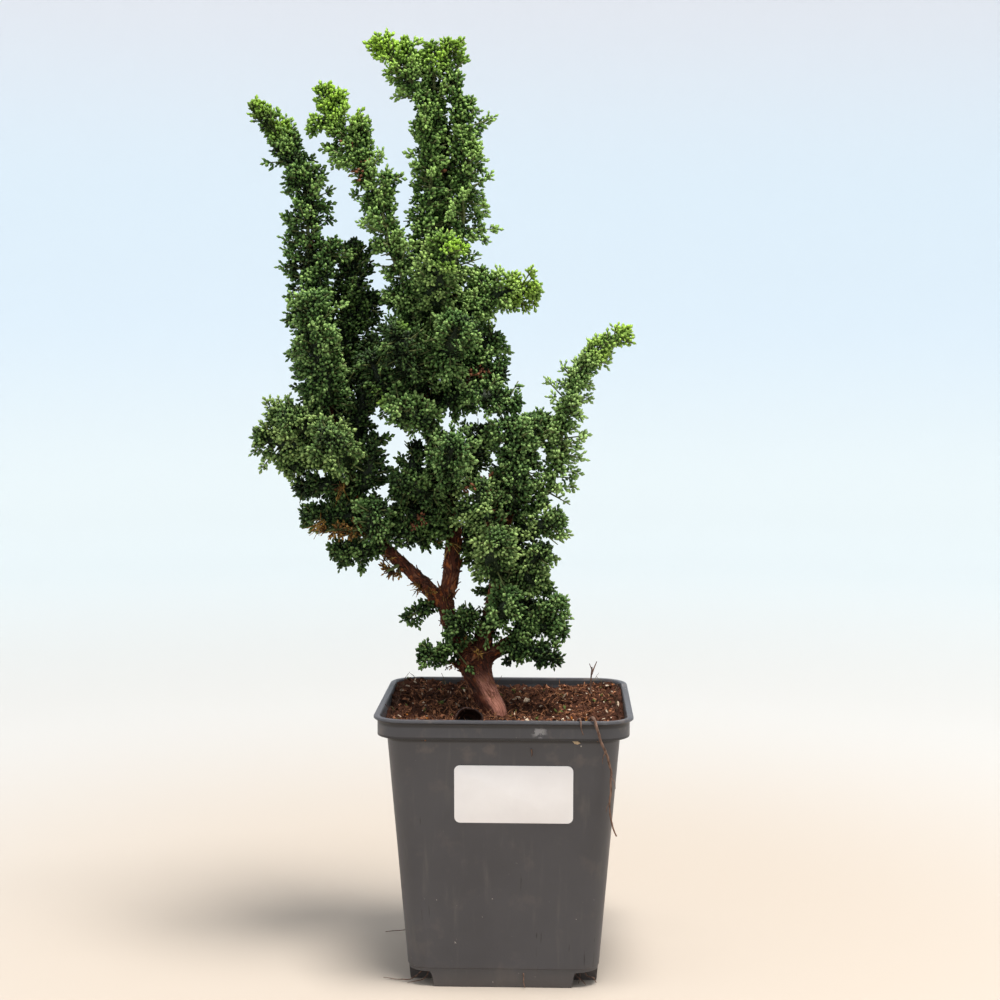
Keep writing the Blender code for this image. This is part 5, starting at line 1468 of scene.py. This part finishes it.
# %% Label
LABEL_SIZE, LABEL_MIDDLE = (50, 25), (4.6, 85.4)        # width and height; x and z
(foot_half, _, foot_z), (band_half, _, band_z) = POT_RINGS[3:5]
WALL_LEAN = math.atan2(band_half - foot_half, band_z - foot_z)
deselect_everything()
bpy.ops.mesh.primitive_plane_add(size=1)
label = bpy.context.object
label.name = label.data.name = "paper_label"
label.scale = (LABEL_SIZE[0] * MM, LABEL_SIZE[1] * MM, 1)
bpy.ops.object.transform_apply(location=False, rotation=False, scale=True)
start_edit(label)
bpy.ops.mesh.select_all(action="SELECT")
bpy.ops.mesh.bevel(offset=2.4 * MM, segments=6, affect="VERTICES")
end_edit()
apply_modifier(label, "SOLIDIFY", thickness=0.18 * MM, offset=1.0)
apply_modifier(label, "BEVEL", width=0.05 * MM, segments=2, limit_method="ANGLE")
wall_y = -(foot_half + (LABEL_MIDDLE[1] - foot_z) * math.tan(WALL_LEAN)) - 0.02
label.matrix_world = (Matrix.Translation((LABEL_MIDDLE[0] * MM, wall_y * MM, LABEL_MIDDLE[1] * MM))
                      @ Matrix.Rotation(math.radians(90) + WALL_LEAN, 4, "X"))
make_active(label)
bpy.ops.object.transform_apply(location=True, rotation=True, scale=True)
outward(label)
paper = Finish("white_paper", 0.55)
tint = paper.mix(paper.group(MOTTLE, Size=0.02, Softness=0.3), (0.80, 0.755, 0.735), (0.86, 0.82, 0.80))
spots = paper.math("MULTIPLY", paper.group(MOTTLE, Size=0.0012, Level=0.75, Softness=0.02), 0.5)
paper.bump(paper.group(MOTTLE, Size=0.0007, Softness=0.3), 0.00003, 0.6)
label.data.materials.append(paper.colour(paper.mix(spots, tint, (0.35, 0.28, 0.22))))
keep(label, "label", "label", smooth=30)
print("label:", len(label.data.polygons), "faces")

# %% [markdown]
# ## The potting mix
#
# Up close the mix is a loose, dark red-brown crumb of peat and coir with pale grit and bits of moss. Its
# main form is a fine grid that is pushed up and down by noise at three scales and pressed into the pot's
# rounded square. Crumbs, fibres, grit and green bits, each modelled once, are strewn over it.

# %% Surface of the mix
SOIL_TOP, LEDGE = 111.4, 110.75           # the mix without its lumps, and the ledge inside the pot
SOIL_HALF, SOIL_RADIUS = 52.0, 11.6
TRUNK_FOOT = (-4.5, -8)
RING_DROP = 3.0
RINGS_BELOW = {1: (SOIL_HALF, SOIL_RADIUS, LEDGE), 2: (48.1, 8.6, LEDGE)}
BOTTOM_RING = (39.4, 8.4, 9.0)            # half width, corner radius and height, as in RINGS_BELOW


def lumps(x, y):
    """Height of the mix: low by the front wall, heaped in the back corners and round the trunk."""
    rough = 1.5 * noise.noise(Vector((x, y, 3.0)) * 0.09) + 1.0 * noise.noise(Vector((x, y, 9.0)) * 0.21)
    back_right = 4.6 * max(0.0, (x + y - 20) / 80)
    back_left = 6.0 * max(0.0, (y - x - 35) / 70)
    front = -1.4 * max(0.0, (-y - 15) / 35)
    trunk_heap = 0.8 * math.exp(-((x - TRUNK_FOOT[0]) ** 2 + (y - TRUNK_FOOT[1]) ** 2) / 160)
    crumbs = 2.0 * noise.noise(Vector((x, y, 1.0)) * 0.38) + 1.0 * noise.noise(Vector((x, y, 5.0)) * 1.1)
    holes = -4.5 * max(0.0, noise.noise(Vector((x, y, 7.0)) * 0.34) - 0.22)
    return SOIL_TOP + rough + back_right + back_left + front + trunk_heap + crumbs + holes


def from_trunk(x, y):
    return math.hypot(x - TRUNK_FOOT[0], y - TRUNK_FOOT[1])


def into_rounded_square(x, y, half, radius):
    """The point itself, or the nearest one on the rounded square when it lies outside."""
    inner = half - radius
    cx, cy = max(-inner, min(inner, x)), max(-inner, min(inner, y))
    away = math.hypot(x - cx, y - cy)
    if away <= radius:
        return x, y
    return cx + (x - cx) * radius / away, cy + (y - cy) * radius / away


deselect_everything()
bpy.ops.mesh.primitive_grid_add(x_subdivisions=110, y_subdivisions=110, size=2 * SOIL_HALF * MM,
                                location=(0, 0, SOIL_TOP * MM))
mix = active_object("potting_mix")
start_edit(mix)
choose_rim(mix)
for lower in (RING_DROP, RING_DROP, 94.0):
    bpy.ops.mesh.extrude_edges_move(TRANSFORM_OT_translate={"value": (0, 0, -lower * MM)})
bpy.ops.mesh.edge_face_add()
end_edit()
points = mesh_points(mix) / MM
for i, (x, y, z) in enumerate(points):
    ring = round((SOIL_TOP - z) / RING_DROP)
    if ring == 0:
        x, y = into_rounded_square(x, y, SOIL_HALF, SOIL_RADIUS)
        over_ledge = max(abs(x), abs(y)) > 46.5 or math.hypot(x, y) > 60
        points[i] = (x, y, max(lumps(x, y), LEDGE + 0.35) if over_ledge else lumps(x, y))
    else:
        half, radius, level = RINGS_BELOW.get(ring, BOTTOM_RING)
        points[i] = (*into_rounded_square(x, y, half, radius), level)
mix.data.vertices.foreach_set("co", (points * MM).ravel())
mix.data.update()
outward(mix)
print("mix:", len(mix.data.polygons), "faces")

# %% Crumbs, grit, fibres and moss, each modelled once


def crumb_model(name, seed, stretch):
    """An uneven little lump with twenty faces."""
    deselect_everything()
    bpy.ops.mesh.primitive_ico_sphere_add(subdivisions=1, radius=0.5)
    obj = active_object(name)
    start_edit(obj)
    bpy.ops.mesh.select_all(action="SELECT")
    bpy.ops.transform.vertex_random(offset=0.30, uniform=0.5, normal=0.3, seed=seed)
    bpy.ops.transform.resize(value=stretch, center_override=(0, 0, 0))
    end_edit()
    outward(obj)
    return obj


def take_shape(obj):
    """The shape of a small model, which is then removed from the scene."""
    apply_modifier(obj, "TRIANGULATE")
    shape = shape_of(obj)
    bpy.data.objects.remove(obj)
    return shape


CRUMBS = [take_shape(crumb_model("crumb", seed, stretch)) for seed, stretch in
          ((3, (1.3, 0.7, 0.5)), (8, (1.8, 0.45, 0.4)), (15, (1.1, 0.9, 0.35)))]


def fibre_model(points, radius):
    """A thin bent fibre of about unit length along X."""
    points = [(x / MM, y / MM, z / MM) for x, y, z in points]
    return take_shape(strand("fibre", points, [radius / MM] * len(points), 4))


FIBRES = [fibre_model(points, 0.042) for points in (
    [(0, 0, 0), (0.25, 0.06, 0.05), (0.5, 0.02, 0.10), (0.75, -0.08, 0.05), (1, -0.04, 0.0)],
    [(0, 0, 0), (0.2, -0.10, 0.12), (0.5, -0.12, 0.20), (0.8, 0.02, 0.16), (1, 0.12, 0.05)],
    [(0, 0, -0.05), (0.3, 0.12, 0.08), (0.55, 0.05, 0.2), (0.7, -0.1, 0.34), (0.78, -0.12, 0.5)])]
print("crumb faces", [len(shape[1]) for shape in CRUMBS],
      "fibre faces", [len(shape[1]) for shape in FIBRES])

# %% Strew them over the mix
OF_PEAT, OF_COIR, OF_GRIT, OF_MOSS, OF_BARK = 0.0, 0.25, 0.5, 0.75, 1.0
strew_rng = np.random.default_rng(77)


def soil_spots(count, rng, half):
    """Random places on the mix, kept off the trunk's foot."""
    spots = []
    while len(spots) < count:
        x, y = rng.uniform(-half, half, 2)
        if into_rounded_square(x, y, half, 11.0) == (x, y) and from_trunk(x, y) > 6.0:
            spots.append((x, y, lumps(x, y)))
    return np.array(spots)


def random_frames(count, rng, flat=0.0):
    """Random directions for copies; flat pulls their first vector towards the ground."""
    first = rng.normal(0, 1, (count, 3))
    first[:, 2] *= 1 - flat
    first = unit(first)
    second = unit(np.cross(rng.normal(0, 1, (count, 3)) * (1, 1, 1 - flat) + (0, 0, 2 * flat), first))
    return first, second, np.cross(first, second)


def strewn(shapes, count, sizes, lift, tone, flat, half, rng):
    """Copies of some shapes with a colour number: the kind in red, chance in green."""
    spots = soil_spots(count, rng, half)
    size = np.exp(rng.uniform(math.log(sizes[0]), math.log(sizes[1]), count))
    spots[:, 2] += size * lift
    first, second, third = random_frames(count, rng, flat)
    parts = []
    for k, shape in enumerate(shapes):
        these = np.arange(count) % len(shapes) == k
        scale = (size[these] * MM)[:, None]
        points, faces = placed_copies(shape, spots[these] * MM, first[these] * scale, second[these] * scale,
                                      third[these] * scale)
        chance = np.repeat(rng.uniform(0, 1, these.sum()), len(shape[0]))
        parts.append((points, faces, np.stack([chance * 0 + tone, chance, chance * 0, chance * 0 + 1], 1)))
    return stacked(parts)


STREWN = [    # shapes, how many, smallest and largest, lift, kind, how flat, half width of the place
    (CRUMBS, 2500, (0.6, 2.0), 0.30, OF_PEAT, 0.0, 50.0),
    (CRUMBS, 300, (1.6, 3.2), 0.12, OF_PEAT, 0.0, 49.0),
    (FIBRES, 850, (1.5, 4.5), 0.14, OF_COIR, 0.25, 46.0),
    (FIBRES, 750, (1.2, 4.0), 0.14, OF_PEAT, 0.25, 46.0),
    (CRUMBS, 150, (0.6, 2.0), 0.50, OF_GRIT, 0.0, 50.0),
    (CRUMBS, 12, (2.0, 3.6), 0.40, OF_GRIT, 0.0, 42.0),
    (CRUMBS, 60, (0.9, 2.4), 0.40, OF_MOSS, 0.0, 50.0),
    (CRUMBS, 26, (0.8, 1.8), 0.50, OF_BARK, 0.0, 50.0)]
apply_modifier(mix, "TRIANGULATE")
mix_points, mix_faces = shape_of(mix)
soil_parts = [(mix_points, mix_faces, np.tile((0.0, 0.4, 0.0, 1.0), (len(mix_points), 1)))]
soil_parts += [strewn(*row, strew_rng) for row in STREWN]
soil_piece = new_mesh("potting_mix_crumbs", *stacked(soil_parts))
bpy.data.objects.remove(mix)
soil_piece.data.shade_flat()
print("soil:", len(soil_piece.data.polygons), "triangles")

# %% Finish of the mix
soil_finish = Finish("peat_and_coir", 0.95, specular=0.08)
kind, chance, _, _ = soil_finish.attribute("tones")
patch = soil_finish.group(MOTTLE, Size=0.004, Softness=0.22)
earth = soil_finish.mix(patch, (0.018, 0.0078, 0.0054), (0.112, 0.045, 0.026))
earth = soil_finish.mix(soil_finish.span(chance, 0.50, 1.0), earth, (0.420, 0.185, 0.095))
for level, colour in ((OF_COIR, (0.33, 0.145, 0.070)), (OF_GRIT, (0.66, 0.52, 0.38)),
                      (OF_MOSS, (0.11, 0.15, 0.04)), (OF_BARK, (0.36, 0.12, 0.02))):
    earth = soil_finish.mix(soil_finish.math("GREATER_THAN", kind, level - 0.12), earth, colour)
varied = soil_finish.group(MOTTLE, Size=0.0009, Softness=0.2)
earth = soil_finish.mix(soil_finish.math("MULTIPLY", varied, 0.35), earth, (0.030, 0.014, 0.009))
soil_finish.bump(soil_finish.group(SCALES, Size=0.0007), 0.0004, 0.7)
soil_piece.data.materials.append(soil_finish.colour(earth))
keep(soil_piece, "soil", "soil")
print("finish of the mix:", soil_piece.data.materials[0].name)

# %% [markdown]
# ## Roots, twigs and the flake of bark
#
# A dry root hangs over the front rim, a forked twig stands at the back, and a curled flake of bark lies
# in front of the trunk. Thin strands are curves with a round bevel, turned into meshes. Short root ends
# show in the open corners at the pot's foot, and a few wisps of dry moss stand up along the rim.

# %% Dry strands
HANGING_ROOT = [(34.5, -46, 113.4), (35.8, -49.4, 117), (37.3, -52.8, 119.3), (38.5, -55.6, 119),
                (39.3, -56.8, 115.5), (40.4, -56.4, 111.5), (42, -55.2, 107), (45, -52, 99),
                (45.3, -51.2, 90), (44.6, -50.6, 82), (46, -49.8, 73), (47.8, -49.6, 68.5)]


def wavy(points, wave, seed):
    """A smooth way with small kinks, as a dry root has."""
    path = smooth_path(points, 1.2)
    fade = np.sin(np.linspace(0, math.pi, len(path)))
    for i, point in enumerate(path):
        nudge = noise.noise_vector(Vector(point) * 0.22 + Vector((seed, 0, 0)))
        path[i] = point + np.array(nudge) * wave * fade[i]
    return path


def tapered(name, points, thick, thin, wave, seed, sides=8):
    """A strand that gets thinner along a wavy way."""
    path = wavy(points, wave, seed)
    radii = [thick + (thin - thick) * i / (len(path) - 1) for i in range(len(path))]
    radii = [r * (1 + 0.25 * noise.noise(Vector(p) * 0.6)) for r, p in zip(radii, path)]
    return strand(name, path, radii, sides)


def tangle(name, rows):
    """Several tapered strands as one piece."""
    return joined(name, [tapered(*row) for row in rows])


hanging_root = tangle("dry_hanging_root", [
    ("root", HANGING_ROOT, 0.68, 0.34, 1.2, 2.0),
    ("root", [(30.5, -46, 113), (31.0, -50.5, 117.2), (31.8, -53.4, 119.0), (32.4, -55.7, 118.4),
              (32.8, -56.0, 115.0), (33.6, -55.4, 112.6)], 0.5, 0.2, 0.6, 9.0),
    ("rootlet", [(45.1, -51.6, 95), (46.6, -52.2, 92), (47.2, -51.6, 89)], 0.22, 0.1, 0.3, 5.0, 5),
    ("rootlet", [(45.0, -50.9, 84), (43.6, -51.4, 81), (43.4, -51.0, 79)], 0.2, 0.1, 0.3, 7.0, 5),
    ("rootlet", [(42.6, -54.6, 105), (41.6, -54.6, 102), (41.9, -53.4, 100)], 0.2, 0.1, 0.3, 8.0, 5)])
standing_twig = tangle("forked_twig", [
    ("twig", [(37.8, 30, 112), (38.2, 30, 121), (38.6, 30.5, 127)], 0.6, 0.3, 0.3, 3.0),
    ("twig_fork", [(38.4, 30.2, 123.5), (40.8, 30.8, 129.5)], 0.45, 0.22, 0.2, 4.0),
    ("twig_end", [(38.5, 30.4, 126), (37.4, 30.2, 128.6)], 0.3, 0.15, 0.1, 5.0, 6)])
CORNER_ROOTS = [[(29.5, -33, 7.5), (31, -35.5, 4.5), (34, -37, 2.2), (35.5, -38.5, 1.0)],
                [(31, -31, 7.6), (33, -34, 3.6), (32.4, -36.5, 0.9)],
                [(34, -33, 7.6), (36, -36, 4.0), (38.6, -36.4, 3.4), (40, -35.5, 1.0)],
                [(-31, -33, 7.6), (-33, -36, 3.0), (-36.5, -36.8, 1.4), (-41, -38, 0.7)],
                [(-33, -31, 7.6), (-37, -34, 2.8), (-43, -34, 0.9), (-52, -31, 0.7)],
                [(8.8, -40.6, 6.4), (8.9, -42.3, 3.4), (9.6, -42.6, 0.7)],
                [(-34, 33, 7.6), (-40, 35, 4.0), (-48, 36, 1.4), (-57, 34, 0.8)],
                [(33, 33, 7.6), (36, 37, 3.0), (35, 41, 0.8)]]
corner_roots = tangle("corner_roots", [("corner_root", points, 0.35, 0.14, 0.7, seed, 6)
                                       for seed, points in enumerate(CORNER_ROOTS)])
print("strands:", [len(obj.data.polygons) for obj in (hanging_root, standing_twig, corner_roots)])

# %% A stuck crumb and wisps of dry moss
stuck_crumb = crumb_model("stuck_crumb", 21, (3.6 * MM, 1.6 * MM, 1.7 * MM))
start_edit(stuck_crumb)
bpy.ops.mesh.select_all(action="SELECT")
bpy.ops.mesh.subdivide(number_cuts=1, smoothness=0.6)
bpy.ops.transform.translate(value=(30.5 * MM, -50.2 * MM, 108.4 * MM))
end_edit()
straw_way = [(12.0, -49.2, 105), (12.4, -49.6, 103.4), (12.2, -49.2, 102)]
stuck_straw = tapered("stuck_straw", straw_way, 0.35, 0.2, 0.2, 6.0, 6)
WISP_COUNT = 105
wisp_rng = random.Random(12)
wisps = []
for _ in range(WISP_COUNT):
    side = wisp_rng.choice(("left", "left", "back", "right", "right", "front", "inside", "inside"))
    run = wisp_rng.uniform(-46, 46)
    x, y = {"left": (-49, run), "right": (49, run), "back": (run, 48), "front": (run, -49),
            "inside": (wisp_rng.uniform(-45, 45), wisp_rng.uniform(-45, 45))}[side]
    if from_trunk(x, y) < 9:
        continue
    foot = lumps(x, y) - 0.8
    tall = wisp_rng.uniform(2.5, 7.0) * (0.5 if side in ("front", "inside") else 1.0)
    lean_x, lean_y = wisp_rng.uniform(-3.5, 3.5), wisp_rng.uniform(-3, 3)
    rise = [(x, y, foot), (x + lean_x * 0.3, y + lean_y * 0.3, foot + tall * 0.6),
            (x + lean_x, y + lean_y, foot + tall)]
    wisps.append(tapered("wisp", rise, 0.20, 0.09, 1.3, run, 5))
wisps = joined("dry_wisps", wisps)
print("wisps:", len(wisps.data.polygons), "faces")

# %% The curled flake of bark
deselect_everything()
bpy.ops.mesh.primitive_uv_sphere_add(segments=32, ring_count=16, radius=1.0)
curl = active_object("curled_flake")
start_edit(curl)
choose(curl, "VERT", lambda co: co.z < -0.25 or co.y < -0.20)
bpy.ops.mesh.delete(type="VERT")
bpy.ops.mesh.select_all(action="SELECT")
bpy.ops.transform.resize(value=(6.2 * MM, 6.0 * MM, 6.4 * MM), center_override=(0, 0, 0))
bpy.ops.transform.translate(value=(-15.2 * MM, -27.6 * MM, 111.8 * MM))
end_edit()
curl_points = mesh_points(curl)
for i, point in enumerate(curl_points):
    curl_points[i] = point + np.array(noise.noise_vector(Vector(point / MM) * 0.28)) * 0.8 * MM
curl.data.vertices.foreach_set("co", curl_points.ravel())
apply_modifier(curl, "SOLIDIFY", thickness=0.5 * MM, offset=0.0)
outward(curl)
print("curled flake:", len(curl.data.polygons), "faces")

# %% Dry wood finish
dry_finish = Finish("dry_root_wood", 0.8)
dry_grain = dry_finish.grain((0.0007, 0.0007, 0.004), 3.0)
dry_finish.bump(dry_grain, 0.0003, 0.7)
dry_finish.colour(dry_finish.mix(dry_finish.span(dry_grain, 0.35, 0.65), (0.055, 0.026, 0.016),
                                 (0.19, 0.105, 0.068)))
wisp_finish = Finish("dry_moss", 0.85)
wisp_finish.colour(wisp_finish.mix(wisp_finish.group(MOTTLE, Size=0.012, Level=0.60, Softness=0.08),
                                   (0.075, 0.032, 0.016), (0.16, 0.15, 0.06)))
crumb_finish = Finish("tan_crumb", 0.85)
crumb_finish.colour(crumb_finish.mix(crumb_finish.group(MOTTLE, Size=0.001, Softness=0.2),
                                     (0.30, 0.20, 0.11), (0.52, 0.40, 0.26)))
flake_finish = Finish("brown_flake", 0.7, specular=0.2)
flake_grain = flake_finish.grain((0.006, 0.0009, 0.006), 3.0)
flake_finish.bump(flake_grain, 0.0004, 0.6)
flake_finish.colour(flake_finish.mix(flake_finish.span(flake_grain, 0.35, 0.7), (0.013, 0.0055, 0.004),
                                     (0.050, 0.020, 0.012)))
for obj, finish, *nodes in ((hanging_root, dry_finish, "hanging_root"),
                            (standing_twig, dry_finish, "soil_twig"), (corner_roots, dry_finish),
                            (wisps, wisp_finish), (stuck_crumb, crumb_finish),
                            (stuck_straw, dry_finish), (curl, flake_finish, "bark_chip")):
    obj.data.materials.append(finish.material)
    keep(obj, "dry_wood", *nodes, smooth=50)
print("small pieces:", [name for name in pieces_made if not name.startswith("leaves_")])

# %% [markdown]
# ## Size and triangle count
#
# The dressed model stands in the CAD part's box, apart from single buds that reach a few millimetres past
# it.

# %% Sizes and the end
print("triangles in all:", sum(pieces_made.values()), "in", len(pieces_made), "pieces")
